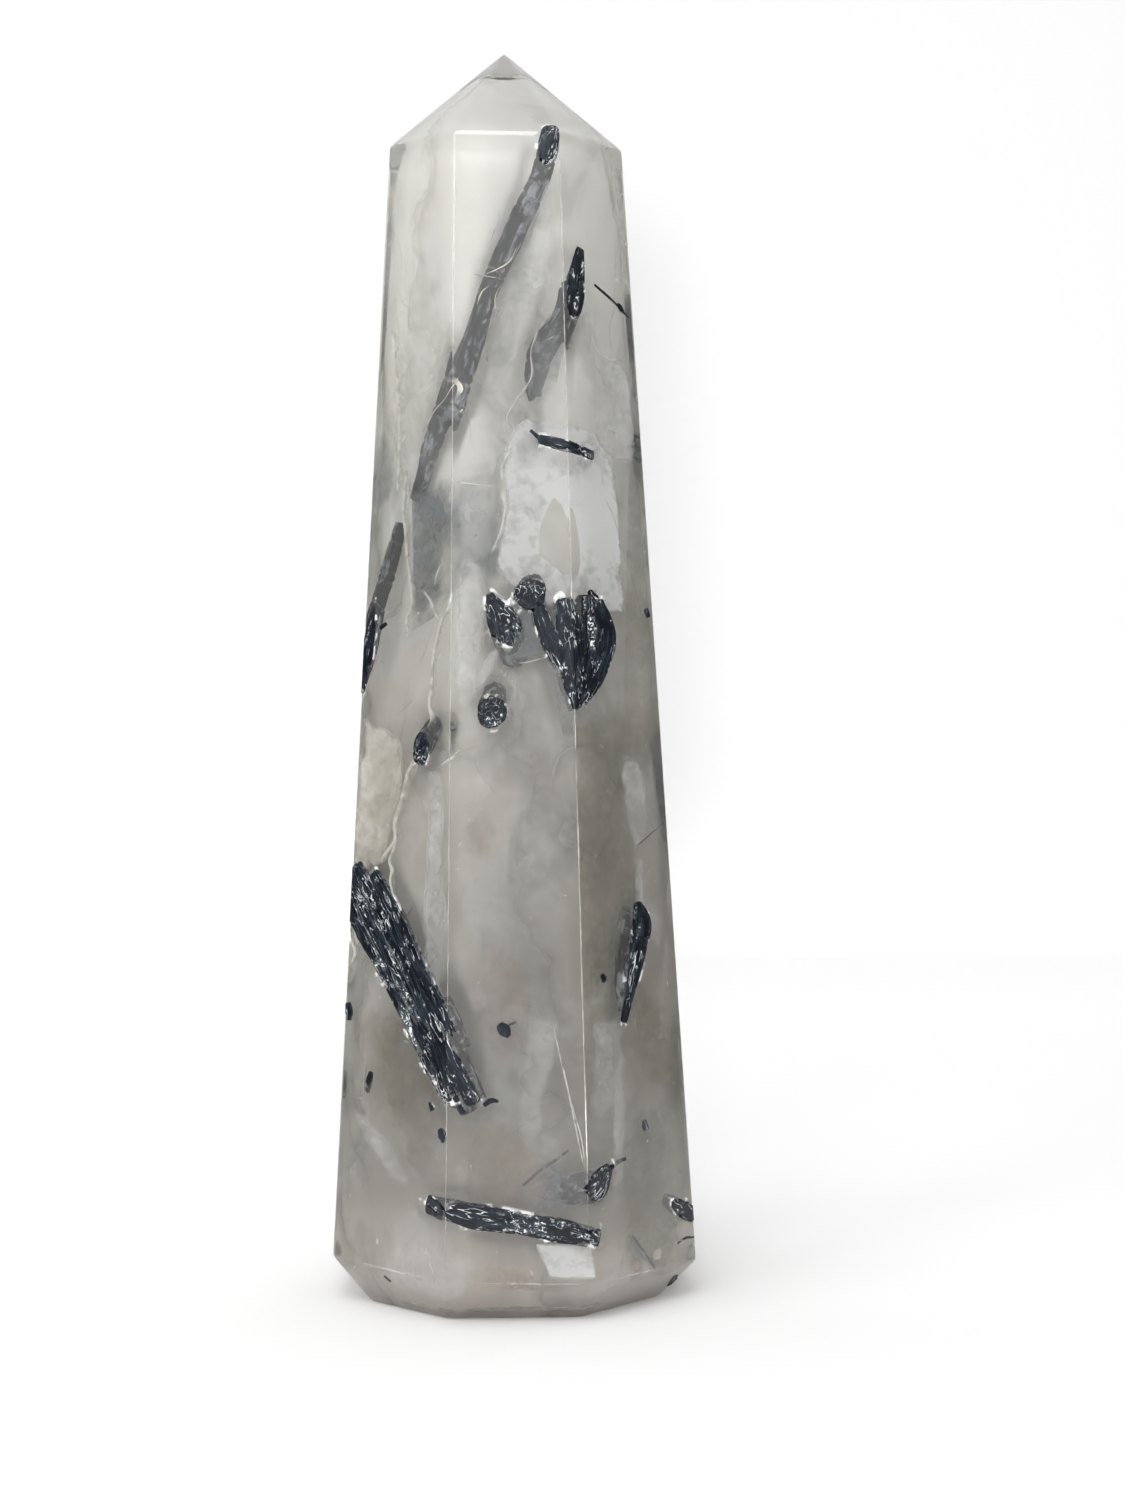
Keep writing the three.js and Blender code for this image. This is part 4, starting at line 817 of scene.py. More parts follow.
    "smoke_of_back_right": ([(BACK_RIGHT, -5.0, 50.0, 1.4), (BACK_RIGHT, 3.6, 54.0, 1.4), (BACK_RIGHT, 4.2, 76.0, 1.6),
                             (BACK_RIGHT, -4.2, 70.0, 1.4)], "smoky", 0.3, 0.65, 0.15),
    "veil_of_back": ([(BACK, -4.6, 60.0, 1.6), (BACK, 2.6, 56.0, 1.4), (BACK, 3.8, 84.0, 1.4),
                      (BACK, -3.8, 92.0, 1.6)], "white", 0.4, 0.75, 0.08),
    "smoke_of_back": ([(BACK, 0.2, 44.0, 1.6), (BACK, 5.6, 48.0, 1.6), (BACK, 5.0, 66.0, 1.6),
                       (BACK, 1.4, 62.0, 1.6)], "smoky", 0.3, 0.6, 0.15),
    "brown_of_back": ([(BACK, -5.6, 8.0, 1.4), (BACK, 2.8, 5.0, 1.4), (BACK, 3.4, 22.0, 1.4), (BACK, -4.6, 28.0, 1.4)],
                      "brown", 0.3, 0.45, 0.3),
    "veil_of_back_left": ([(BACK_LEFT, -5.4, 14.0, 1.4), (BACK_LEFT, 5.2, 18.0, 1.6), (BACK_LEFT, 4.2, 48.0, 1.6),
                           (BACK_LEFT, -4.8, 44.0, 1.4)], "white", 0.4, 0.6, 0.08),
    "smoke_of_back_left": ([(BACK_LEFT, -4.6, 70.0, 1.4), (BACK_LEFT, 4.4, 72.0, 1.4), (BACK_LEFT, 4.0, 88.0, 1.6),
                            (BACK_LEFT, -4.0, 92.0, 1.6)], "smoky", 0.3, 0.5, 0.3),
    "veil_of_left_side": ([(LEFT, -5.0, 26.0, 1.6), (LEFT, 2.8, 24.0, 1.2), (LEFT, 4.2, 56.0, 1.4),
                           (LEFT, -4.4, 60.0, 1.6)], "white", 0.4, 0.6, 0.10),
    "cream_of_left_side": ([(LEFT, 0.4, 38.0, 1.0), (LEFT, 6.0, 40.0, 0.8), (LEFT, 5.6, 56.0, 0.8), (LEFT, 1.4, 60.0, 1.0)],
                           "cream", 0.2, 0.7, 0.12),
    "smoke_of_left_side": ([(LEFT, -4.4, 64.0, 1.4), (LEFT, 3.4, 68.0, 1.4), (LEFT, 4.0, 84.0, 1.4), (LEFT, -4.0, 80.0, 1.4)],
                           "smoky", 0.3, 0.6, 0.15),
}


def thin_skin(sheet, half_thickness):
    """A sheet made solid: its grid pushed out both ways along its normal, joined round the rim."""
    normal = np.cross(np.gradient(sheet, axis=0), np.gradient(sheet, axis=1))
    normal /= np.maximum(np.linalg.norm(normal, axis=-1, keepdims=True), 1e-9)
    push = normal * half_thickness[..., None]
    grid = np.concatenate([sheet + push, (sheet - push)[:, ::-1]], 1)
    return closed_skin(grid, grid[0].mean(0), grid[-1].mean(0))


def on_both_sides(values):
    """Values of a sheet's grid for the points of its thin skin."""
    both = np.concatenate([values, values[:, ::-1]], 1)
    return np.append(both.ravel(), [both[0].mean(), both[-1].mean()])


def crack_sheet(path, width, reach, lean, seed, step=0.25):
    """A healed crack: a narrow strip along its path at the surface, then a flange that fades as it goes inwards."""
    rows, _ = smooth_path(np.array([place(*spot) for spot in path]), step)
    inward = -sum(outward(spot[0]) for spot in path)
    inward /= np.linalg.norm(inward)
    along = np.gradient(rows, axis=0)
    along /= np.linalg.norm(along, axis=1, keepdims=True)
    across = np.cross(along, inward)
    swell = np.clip(0.75 + 0.9 * layered_noise(rows * 0.9 + seed, seed, 3), 0.15, 1.6)[:, None]
    strip = np.array([-0.5, -0.25, 0.0, 0.25, 0.5])
    flange = np.linspace(0, 1, 7)[1:]
    width, reach = 0.7 * width, 0.6 * reach
    side = np.concatenate([strip[None] * width * swell, 0.5 * width * swell + lean * reach * flange[None]], 1)
    deep = np.concatenate([0 * strip, reach * flange])
    waves = 0.25 * layered_noise(rows * 0.6 + 5 * seed, seed + 3, 2)[:, None] * np.minimum(deep, 1)
    sheet = rows[:, None] + across[:, None] * (side + waves)[..., None] + inward * deep[None, :, None]
    ends = np.minimum(1, np.minimum(np.arange(len(rows)), np.arange(len(rows))[::-1]) / 5)[:, None]
    fade = np.concatenate([np.ones(5), 0.55 * (1 - flange) ** 1.5]) * ends
    return sheet, fade


def painted_edge_highlight(face):
    """A thin pale line along the upright edge between a face and the next: a painted highlight where the rounded edge
    catches the light.
    """
    across = [sideways(face) @ edge_point(face, height) - 0.05 for height in (5, 30, 60, 90, 108.8)]
    return [(face, way, height, 0.12) for way, height in zip(across, (5, 30, 60, 90, 108.8))], 0.13, 0.3, 0.1


def painted_bevel_highlight(face):
    """The same painted highlight along the top of the foot's bevel, which tilts with X."""
    spots = []
    for share in (-0.38, -0.2, 0.0, 0.2, 0.38):
        across = share * face_distance(face, BEVEL_TOP)
        height = BEVEL_TOP + BEVEL_TILT * place(face, across, BEVEL_TOP, 0.0)[0]
        spots.append((face, across, height, 0.12))
    return spots, 0.12, 0.3, 0.1


def hairlines(count, seed):
    """Short faint cracks just under the faces: each bends once, and most of them run steeply."""
    rng = np.random.default_rng(seed)
    sheets = []
    for number in range(count):
        face, height = rng.integers(FACES), rng.uniform(4, 104)
        half = 0.8 * face_distance(face, height) * math.tan(FACE_TURN / 2)
        across, depth = rng.uniform(-half, half), rng.uniform(0.15, 1.2)
        turn, length, bend = rng.normal(0, 0.8), rng.uniform(0.5, 2.2), rng.uniform(-0.4, 0.4)
        path = [(face, across + length * step * math.sin(turn) + bend * abs(step), height + length * step * math.cos(turn),
                 depth) for step in (-1, 0, 1)]
        sheet, fade = crack_sheet(path, rng.uniform(0.08, 0.16), rng.uniform(0.3, 1.2), rng.uniform(-0.6, 0.6),
                                  seed + number)
        sheets.append((kept_inside(sheet), fade * rng.uniform(0.25, 0.8)))
    return sheets


def kept_inside(sheet):
    """A sheet's grid with the points that would come out of the stone moved back under its faces."""
    moved, _ = cut_flush(sheet.reshape(-1, 3), None, -0.1)
    return moved.reshape(sheet.shape)


def veil_sheet(corners, seed, waviness, density, softness, firm_left=False, spacing=0.33):
    """A veil: straight between its corners, waved by noise, thinner towards its rim and where it nears a face.

    With firm_left its left border stays sharp, however soft the rest of its rim is.
    """
    low_left, low_right, high_right, high_left = [place(*spot, 0.3 + 0.55 * depth) for *spot, depth in corners]
    rise = max(np.linalg.norm(high_left - low_left), np.linalg.norm(high_right - low_right))
    width = max(np.linalg.norm(low_right - low_left), np.linalg.norm(high_right - high_left))
    rows, columns = int(np.clip(rise / spacing, 12, 64)), int(np.clip(width / spacing, 10, 40))
    v = np.linspace(0, 1, rows)[:, None, None]
    u = np.linspace(0, 1, columns)[None, :, None]
    flat = (low_left * (1 - u) + low_right * u) * (1 - v) + (high_left * (1 - u) + high_right * u) * v
    normal = np.cross(low_right - low_left, high_left - low_left)
    normal /= np.linalg.norm(normal)
    waves = layered_noise(flat * 0.22 + seed, seed, 4)
    sheet = flat + normal * (1.6 * waviness * waves)[..., None]
    squareness = 12.0 if waviness < 0.06 else 6.0 if softness < 0.1 else 3.0
    off_middle = np.abs(2 * u - 1)
    if firm_left:
        off_middle = np.where(u < 0.5, off_middle**16, off_middle)
    rim = 1 - (off_middle**squareness + np.abs(2 * v - 1) ** squareness)[..., 0] ** (1 / squareness)
    uneven = (0.03 if waviness < 0.06 else 0.16) + softness
    ragged = rim + uneven * (layered_noise(flat * 0.3, seed + 9, 2) + 0.6 * layered_noise(flat * 1.1, seed + 12, 4))
    near_face = soft_step(depth_under_stone(sheet.reshape(-1, 3)).reshape(rows, columns), 0.12, 0.45)
    turn = 2.4 * seed
    lean = 0.5 + 0.7 * ((u - 0.5) * math.cos(turn) + (v - 0.5) * math.sin(turn))[..., 0]
    folds = 0.5 + 0.5 * layered_noise(flat * [0.5, 0.5, 0.16] + 3 * seed, seed + 15, 4)
    share = 1.0 if waviness < 0.11 else np.clip(0.25 + 0.75 * lean + 0.7 * (folds - 0.5), 0.12, 1.0)
    return kept_inside(sheet), density * share * soft_step(ragged, 0.0, 1.6 * softness) * near_face


def milk_curtain(middle, span, low, high, depth, fades, seed):
    """A cloudy curtain: round the axis and up the stone, close under its faces, thinning to its ragged rim.

    Its distance from the axis is the stone's own (the planes' distances joined smoothly) less a wavy depth, and it
    dips behind the crystals. It fades below and above as far as fades says.
    """
    rows, columns = int((high - low) / 0.85), int(48 * span / math.pi)
    turn = middle + span * (np.linspace(-0.5, 0.5, columns)[None, :] + np.zeros((rows, 1)))
    height = np.linspace(low, high, rows)[:, None] + np.zeros((1, columns))
    level = np.stack([np.sin(turn), -np.cos(turn), 0 * turn], -1)
    toward = level @ NORMALS.T
    room = DISTANCES - height[..., None] * NORMALS[:, 2]
    nearness = np.where(toward > 0.05, toward / np.maximum(room, 0.05), 0)
    radius = (nearness**9).sum(-1) ** (-1 / 9)
    rise = np.array([0.0, 0.0, 1.0])
    spots = level * radius[..., None] + rise * height[..., None]
    under = [crystal_cover((spots - level * step).reshape(-1, 3)) for step in (0.6, 1.6, 2.6, 3.6, 4.6)]
    dip = 1.1 * soft_step(np.max(under, 0).reshape(rows, columns), -0.9, 0.0)
    radius = np.maximum(radius - depth - dip - 0.3 * layered_noise(spots * 0.10 + seed, seed, 3), 0.3)
    sheet = level * radius[..., None] + rise * height[..., None]
    v = np.interp(np.linspace(-1, 1, rows), (-1, 0, 1), (fades[0], 0, fades[1]))[:, None]
    u = np.abs(np.linspace(-1, 1, columns))[None, :]
    rim = 1 - (u**4 + v**4) ** 0.25
    ragged = rim + 0.5 * layered_noise(spots * 0.16, seed + 20, 4)
    return kept_inside(sheet), soft_step(ragged, 0.0, 0.4) * soft_step(rim, 0.0, 0.1)


def milk_curtains(seed):
    """Curtains that overlap round and up the stone, each at a depth of its own."""
    rng = np.random.default_rng(seed)
    sheets = []
    for low, high, fades in ((0.7, 56.0, (0, 1)), (24.0, 94.0, (1, 1)), (60.0, 115.5, (1, 0))):
        first = rng.uniform(0, 2 * math.pi)
        for number in range(3):
            middle = first + number * 2 * math.pi / 3 + rng.uniform(-0.2, 0.2)
            depth = 1.8 + 0.16 * len(sheets)
            sheets.append(milk_curtain(middle, rng.uniform(2.9, 3.3), low, high, depth, fades, seed + 7 * len(sheets)))
    return sheets


def deep_clouds(count, seed):
    """Cloudy planes that cross the stone at all angles, and thin out four millimetres under its faces.

    Each is a flat grid through a random point near the axis, steep and turned at random, waved by noise.
    """
    rng = np.random.default_rng(seed)
    rows, columns = 34, 22
    sheets = []
    for number in range(count):
        height = 4 + 110 * (number + rng.uniform(0.2, 0.8)) / count
        radius = face_distance(FRONT, height)
        turn, steepness = rng.uniform(0, math.pi), rng.uniform(-0.5, 0.5)
        level = np.array([math.cos(turn), math.sin(turn), 0.0])
        side = np.array([-math.sin(turn), math.cos(turn), 0.0])
        rise = np.array([0.0, 0.0, math.cos(steepness)]) + side * math.sin(steepness)
        centre = np.array([0.0, 0.0, height]) + side * rng.uniform(-0.55, 0.55) * radius
        u = np.linspace(-1.05, 1.05, columns)[None, :, None] * radius
        v = np.linspace(-1, 1, rows)[:, None, None] * rng.uniform(15, 24)
        flat = centre + level * u + rise * v
        waves = layered_noise(flat * 0.12 + 3 * number, seed + number, 4)
        sheet = flat + np.cross(level, rise) * (3.0 * waves)[..., None]
        rim = 1 - np.abs(v[..., 0]) / np.abs(v).max()
        ragged = rim + 0.35 * layered_noise(flat * 0.2, seed + 50 + number, 3)
        under = depth_under_stone(sheet.reshape(-1, 3)).reshape(rows, columns)
        sheets.append((kept_inside(sheet), 0.9 * soft_step(ragged, 0.0, 0.35) * soft_step(under, 3.0, 4.5)))
    return sheets


def fleck_piece(count, seed, material):
    """Pale flecks under the faces: small flat ovals, each turned at random and lying along a face."""
    rng = np.random.default_rng(seed)
    rows, columns = 5, 8
    rise = np.linspace(-0.8, 0.8, rows)[:, None] * math.pi / 2
    turn = 2 * math.pi * np.arange(columns)[None, :] / columns
    ball = np.stack([np.cos(rise) * np.cos(turn), np.cos(rise) * np.sin(turn), np.sin(rise) + 0 * turn], -1)
    points, faces = [], []
    for number in range(count):
        face, height = rng.integers(FACES), rng.uniform(3, 106)
        half = face_distance(face, height) * math.tan(FACE_TURN / 2)
        centre = place(face, rng.uniform(-0.95, 0.95) * half, height, rng.uniform(0.3, 2.6))
        tilt = rng.normal(0, 0.9)
        long_way = np.array([0, 0, math.cos(tilt)]) + sideways(face) * math.sin(tilt)
        wide_way = np.cross(outward(face), long_way)
        size = rng.uniform(0.08, 0.42) * rng.uniform(0.4, 1.0)
        body = ball @ np.stack([long_way * size, wide_way * size * rng.uniform(0.15, 0.6), outward(face) * 0.04])
        skin, skin_faces = closed_skin(centre + body, centre + body[0].mean(0), centre + body[-1].mean(0))
        points.append(skin)
        faces += [f + number * len(skin) for f in skin_faces]
    make_piece("pale_flecks", np.concatenate(points), faces, [material], "quartz")


def sheet_piece(name, sheets, material):
    """Sheets as one object of thin skins, with each point's density."""
    points, faces, densities, start = [], [], [], 0
    for sheet, density in sheets:
        skin, skin_faces = thin_skin(sheet, 0.012 + 0.02 * np.clip(density, 0, 1))
        points.append(skin)
        faces += [f + start for f in skin_faces]
        densities.append(on_both_sides(density))
        start += len(skin)
    density = np.concatenate(densities)
    return make_piece(name, np.concatenate(points), faces, [material], "quartz", (("thickness", density),))


# Materials


def new_material(name):
    """An empty node material with a Principled shader, and its tree."""
    material = bpy.data.materials.new(name)
    material.use_nodes = True
    tree = material.node_tree
    return material, tree, tree.nodes["Principled BSDF"]


def node(tree, kind, inputs, **properties):
    """A node of a kind; inputs maps the name or number of an input to a value or to another node's output."""
    made = tree.nodes.new("ShaderNode" + kind)
    for label, value in properties.items():
        setattr(made, label, value)
    for label, value in inputs.items():
        socket = made.inputs[label]
        if isinstance(value, bpy.types.NodeSocket):
            tree.links.new(value, socket)
        else:
            socket.default_value = value
    return made


def noise(tree, where, scale, detail=4.0, distortion=0.0, roughness=0.55):
    """Noise of a size given in turns per millimetre."""
    return node(tree, "TexNoise", {"Vector": where, "Scale": scale / MM, "Detail": detail, "Distortion": distortion,
                                   "Roughness": roughness}).outputs["Fac"]


def between(tree, value, low, high, to_low=0.0, to_high=1.0):
    """A value's share of the way from low to high, smoothed and kept in between, as a number from to_low to to_high."""
    return node(tree, "MapRange", {"Value": value, "From Min": low, "From Max": high, "To Min": to_low,
                                   "To Max": to_high}, interpolation_type="SMOOTHSTEP").outputs["Result"]


def blend_colours(tree, share, first, second):
    """Mix of two colours, by a share of the second."""
    mix = node(tree, "Mix", {0: share, 6: first, 7: second}, data_type="RGBA")
    return mix.outputs[2]


def calculate(tree, operation, a, b=0.0):
    return node(tree, "Math", {0: a, 1: b}, operation=operation).outputs[0]


def attribute(tree, name, output="Fac"):
    return node(tree, "Attribute", {}, attribute_name=name).outputs[output]


def quartz_finish():
    """Clear quartz with a trace of mist at its surface, plain absorption inside, pale chips beside the crystals, and
    painted light and shade in its tone.
    """
    material, tree, shader = new_material("milky_quartz")
    where = node(tree, "TexCoord", {}).outputs["Object"]
    height = node(tree, "SeparateXYZ", {0: where}).outputs["Z"]
    clouds = noise(tree, where, 0.06, 2.0, 0.4)
    mist = noise(tree, where, 0.35, 3.0, 0.6)
    # Warmer low down and paler towards the top: partly painted light from above.
    tone = blend_colours(tree, between(tree, height, 30 * MM, 105 * MM), (0.92, 0.90, 0.87, 1), (0.99, 0.985, 0.96, 1))
    tone = blend_colours(tree, between(tree, mist, 0.50, 0.72, 0.0, 0.5), tone, (0.96, 0.96, 0.95, 1))
    rim = calculate(tree, "MULTIPLY", between(tree, attribute(tree, "cover"), -0.40, -0.05),
                    between(tree, noise(tree, where, 0.7, 3.0), 0.55, 0.64))
    tone = blend_colours(tree, calculate(tree, "MULTIPLY", rim, 0.8), tone, (0.93, 0.93, 0.92, 1))
    # Darker at the very tip: painted shade that tones down the light there.
    tone = blend_colours(tree, between(tree, height, 108 * MM, 111 * MM), tone, (0.76, 0.76, 0.75, 1))
    tree.links.new(tone, shader.inputs["Base Color"])
    clear = between(tree, height, 40 * MM, 90 * MM, 0.955, 0.94)
    milk = calculate(tree, "ADD", between(tree, clouds, 0.45, 0.75, 0.0, 0.06), calculate(tree, "MULTIPLY", rim, 0.75))
    clear = calculate(tree, "SUBTRACT", clear, milk)
    tree.links.new(clear, shader.inputs["Transmission Weight"])
    shader.inputs["Roughness"].default_value = 0.11
    shader.inputs["IOR"].default_value = 1.544
    shader.inputs["Coat Weight"].default_value = 0.15
    shader.inputs["Coat Roughness"].default_value = 0.05
    absorption = node(tree, "VolumeAbsorption", {"Color": (0.80, 0.78, 0.745, 1), "Density": 20.0})
    tree.links.new(absorption.outputs[0], tree.nodes["Material Output"].inputs["Volume"])
    return material


def cloud_finish():
    """The milk in the quartz: matt, warm and dim low in the stone and to the right as painted shade away from the
    light, paler above, in broad swirls, and lifted by painted light at the foot.
    """
    material, tree, shader = new_material("milky_cloud")
    where = node(tree, "TexCoord", {}).outputs["Object"]
    way = node(tree, "SeparateXYZ", {0: where})
    # A height tilted with X, so that the painted shade falls low and to the right, away from the light at the upper
    # left.
    height = calculate(tree, "SUBTRACT", way.outputs["Z"], calculate(tree, "MULTIPLY", way.outputs["X"], 1.1))
    swirl = noise(tree, where, 0.05, 2.0, 0.5)
    fine = noise(tree, where, 0.22, 3.0, 0.4)
    tone = blend_colours(tree, between(tree, height, 18 * MM, 98 * MM), (0.41, 0.39, 0.35, 1), (0.96, 0.95, 0.905, 1))
    tone = blend_colours(tree, between(tree, swirl, 0.45, 0.70, 0.0, 0.25), tone, (0.95, 0.95, 0.94, 1))
    tone = blend_colours(tree, between(tree, fine, 0.48, 0.72, 0.0, 0.30), tone, (0.94, 0.95, 0.95, 1))
    dim = between(tree, noise(tree, where, 0.11, 3.0, 0.9), 0.50, 0.70, 0.0, 0.30)
    tone = blend_colours(tree, dim, tone, (0.36, 0.35, 0.28, 1))
    # Paler and warmer at the foot: painted light that lifts the shade there.
    foot = between(tree, way.outputs["Z"], 4 * MM, 11 * MM, 0.6, 0.0)
    tone = blend_colours(tree, foot, tone, (0.84, 0.77, 0.72, 1))
    tree.links.new(tone, shader.inputs["Base Color"])
    shader.inputs["Roughness"].default_value = 0.9
    veil = calculate(tree, "MULTIPLY", attribute(tree, "thickness"), between(tree, swirl, 0.30, 0.60, 0.88, 1.0))
    tree.links.new(calculate(tree, "MINIMUM", veil, 1.0), shader.inputs["Alpha"])
    return material


def veil_finish(name, pale, warm, grain_scale):
    """Cloudy healed planes: matt, and let through by their density times a fibrous noise."""
    material, tree, shader = new_material(name)
    where = node(tree, "TexCoord", {}).outputs["Object"]
    grain = noise(tree, where, grain_scale, 3.0, 0.3)
    tree.links.new(blend_colours(tree, between(tree, grain, 0.3, 0.7), warm, pale), shader.inputs["Base Color"])
    shader.inputs["Roughness"].default_value = 0.8
    veil = calculate(tree, "MULTIPLY", attribute(tree, "thickness"), between(tree, grain, 0.35, 0.62, 0.6, 1.0))
    veil = calculate(tree, "MULTIPLY", veil, between(tree, noise(tree, where, 0.8, 3.0, 0.3), 0.34, 0.60, 0.74, 1.1))
    tree.links.new(calculate(tree, "MINIMUM", veil, 1.0), shader.inputs["Alpha"])
    return material


def thin_lines(tree, where, scale, width):
    """1 on thin wandering lines, where a noise passes its middle value, and 0 away from them."""
    gap = calculate(tree, "ABSOLUTE", calculate(tree, "SUBTRACT", noise(tree, where, scale, 1.6, 0.2), 0.5))
    return between(tree, gap, 0.2 * width, width, 1.0, 0.0)


def tourmaline_finish():
    """Glossy blue-black mineral with white broken lines along its grain as painted glints, and pale crumbs in the pits
    of the cut that are partly painted glints too.
    """
    material, tree, shader = new_material("black_tourmaline")
    where = node(tree, "TexCoord", {}).outputs["Object"]
    along = attribute(tree, "grain", "Vector")
    pit = attribute(tree, "pit")
    bands = noise(tree, along, 0.8, 4.0, 0.3)
    patches = between(tree, noise(tree, where, 0.5, 3.0, 0.5), 0.48, 0.60)
    lines = calculate(tree, "MULTIPLY", thin_lines(tree, along, 0.7, 0.020), patches)
    crumbs = calculate(tree, "MULTIPLY", between(tree, noise(tree, where, 1.9, 4.0, 1.5), 0.55, 0.60), pit)
    # White lines and crumbs on the cut: painted glints where the polish catches the light; the crumbs are partly pale
    # fill in the pits.
    painted_glints_and_crumbs = calculate(tree, "MAXIMUM", calculate(tree, "MULTIPLY", lines, 0.8), crumbs)
    tone = blend_colours(tree, between(tree, bands, 0.4, 0.65), (0.003, 0.004, 0.008, 1), (0.014, 0.021, 0.030, 1))
    tone = blend_colours(tree, calculate(tree, "MULTIPLY", pit, 0.3), tone, (0.05, 0.08, 0.10, 1))
    tone = blend_colours(tree, painted_glints_and_crumbs, tone, (0.86, 0.90, 0.91, 1))
    tree.links.new(tone, shader.inputs["Base Color"])
    tree.links.new(between(tree, bands, 0.3, 0.7, 0.10, 0.30), shader.inputs["Roughness"])
    shader.inputs["IOR"].default_value = 1.42
    relief = calculate(tree, "MULTIPLY_ADD", lines, -1.0)
    tree.links.new(bands, relief.node.inputs[2])
    bump = node(tree, "Bump", {"Height": relief, "Strength": 0.3, "Distance": 0.05 * MM})
    tree.links.new(bump.outputs[0], shader.inputs["Normal"])
    return material


def buried_tourmaline_finish():
    """The same mineral where quartz covers it: no gloss, with paler striae and whitish healed breaks."""
    material, tree, shader = new_material("buried_tourmaline")
    where = node(tree, "TexCoord", {}).outputs["Object"]
    bands = noise(tree, attribute(tree, "grain", "Vector"), 0.5, 4.0, 0.3)
    mottling = between(tree, noise(tree, where, 0.7, 5.0, 0.6), 0.42, 0.62)
    streaks = calculate(tree, "MULTIPLY", between(tree, bands, 0.45, 0.60), mottling)
    tone = blend_colours(tree, streaks, (0.002, 0.003, 0.008, 1), (0.33, 0.37, 0.42, 1))
    healed = calculate(tree, "MULTIPLY", attribute(tree, "healed"), mottling)
    tone = blend_colours(tree, calculate(tree, "MULTIPLY", healed, 0.5), tone, (0.40, 0.42, 0.42, 1))
    tree.links.new(tone, shader.inputs["Base Color"])
    shader.inputs["Roughness"].default_value = 0.7
    shader.inputs["IOR"].default_value = 1.06
    return material


def fleck_finish():
    """Pale flecks: matt white, a little warmer in places."""
    material, tree, shader = new_material("pale_fleck")
    where = node(tree, "TexCoord", {}).outputs["Object"]
    tone = blend_colours(tree, between(tree, noise(tree, where, 0.2), 0.4, 0.6), (0.90, 0.91, 0.91, 1), (0.86, 0.82, 0.74, 1))
    tree.links.new(tone, shader.inputs["Base Color"])
    shader.inputs["Roughness"].default_value = 0.5
    return material


def paper_finish():
    """Matt white paper: painted light makes it a little paler where it lies flat far behind the stone, and a painted
    shadow makes it a little greyer in front of it.
    """
    material, tree, shader = new_material("white_paper")
    where = node(tree, "TexCoord", {}).outputs["Object"]
    lying = between(tree, node(tree, "SeparateXYZ", {0: where}).outputs["Z"], 0.0, 50 * MM, 1.0, 0.0)
    tone = blend_colours(tree, noise(tree, where, 0.4), (0.78, 0.78, 0.78, 1), (0.80, 0.80, 0.80, 1))
    away = node(tree, "SeparateXYZ", {0: where}).outputs["Y"]
    # Paler far behind the stone: painted light where the lamps reach the low floor less.
    flat = blend_colours(tree, between(tree, away, 100 * MM, 280 * MM), (0.85, 0.85, 0.85, 1), (0.91, 0.91, 0.91, 1))
    # Greyer in front of the stone and beside its base: a painted shadow round the base.
    flat = blend_colours(tree, between(tree, away, -30 * MM, 35 * MM, 1.0, 0.0), flat, (0.77, 0.77, 0.77, 1))
    tone = blend_colours(tree, lying, tone, flat)
    tree.links.new(tone, shader.inputs["Base Color"])
    shader.inputs["Roughness"].default_value = 0.9
    shader.inputs["Specular IOR Level"].default_value = 0.1
    return material


# The setting


def paper_sweep(material):
    """A sheet that lies flat, bends up far behind the stone along a quarter circle and stands as a wall."""
    bend, wall, half = 60.0, 420.0, 240.0
    arc = np.linspace(0, math.pi / 2, 24)
    depth = np.concatenate([[-1500, wall - bend - 40], wall + bend * np.sin(arc) - bend, [wall]])
    rise = np.concatenate([[0, 0], bend - bend * np.cos(arc), [1500]])
    across = np.array([-half, half])
    grid = np.stack(np.broadcast_arrays(across[None, :], depth[:, None], rise[:, None]), -1)
    floor = make_piece("paper_sweep", grid.reshape(-1, 3), [grid_faces(len(depth), 2, False)], [material], None)


def soft_light(name, place_mm, aim_mm, size_mm, watts):
    """A square panel of light that faces a point."""
    light = bpy.data.lights.new(name, "AREA")
    light.size = size_mm * MM
    light.energy = watts
    lamp = bpy.data.objects.new(name, light)
    lamp.location = Vector(place_mm) * MM
    lamp.rotation_euler = (Vector(aim_mm) - Vector(place_mm)).to_track_quat("-Z", "Y").to_euler()
    bpy.context.scene.collection.objects.link(lamp)
    return lamp


def beside_camera_lamp(radiance):
    """A small even lamp beside the camera that doesn't fade with distance: it casts the soft shadow on the paper."""
    lamp = soft_light("beside_camera_lamp", (-11.5, -224, 66), (0, 120, 50), 16, 1.0)
    light = lamp.data
    light.use_nodes = True
    tree = light.node_tree
    falloff = node(tree, "LightFalloff", {"Strength": radiance})
    tree.links.new(falloff.outputs["Constant"], tree.nodes["Emission"].inputs["Strength"])
    lamp.visible_glossy = False
    lamp.visible_transmission = False
    lamp.visible_camera = False


def soft_sky(strength):
    """White light from all around, dimmer low down at the left and right, where the room is dark."""
    world = bpy.data.worlds.new("soft_sky")
    world.use_nodes = True
    tree = world.node_tree
    way = node(tree, "SeparateXYZ", {0: node(tree, "TexCoord", {}).outputs["Generated"]})
    beside = between(tree, calculate(tree, "ABSOLUTE", way.outputs["X"]), 0.55, 0.95)
    low = between(tree, way.outputs["Z"], 0.15, 0.65, 1.0, 0.0)
    dark = calculate(tree, "MULTIPLY", beside, low)
    bright = calculate(tree, "MULTIPLY_ADD", dark, -0.85 * strength)
    bright.node.inputs[2].default_value = strength
    tree.links.new(bright, tree.nodes["Background"].inputs["Strength"])
    tree.nodes["Background"].inputs["Color"].default_value = (1.0, 1.0, 1.0, 1)
    bpy.context.scene.world = world


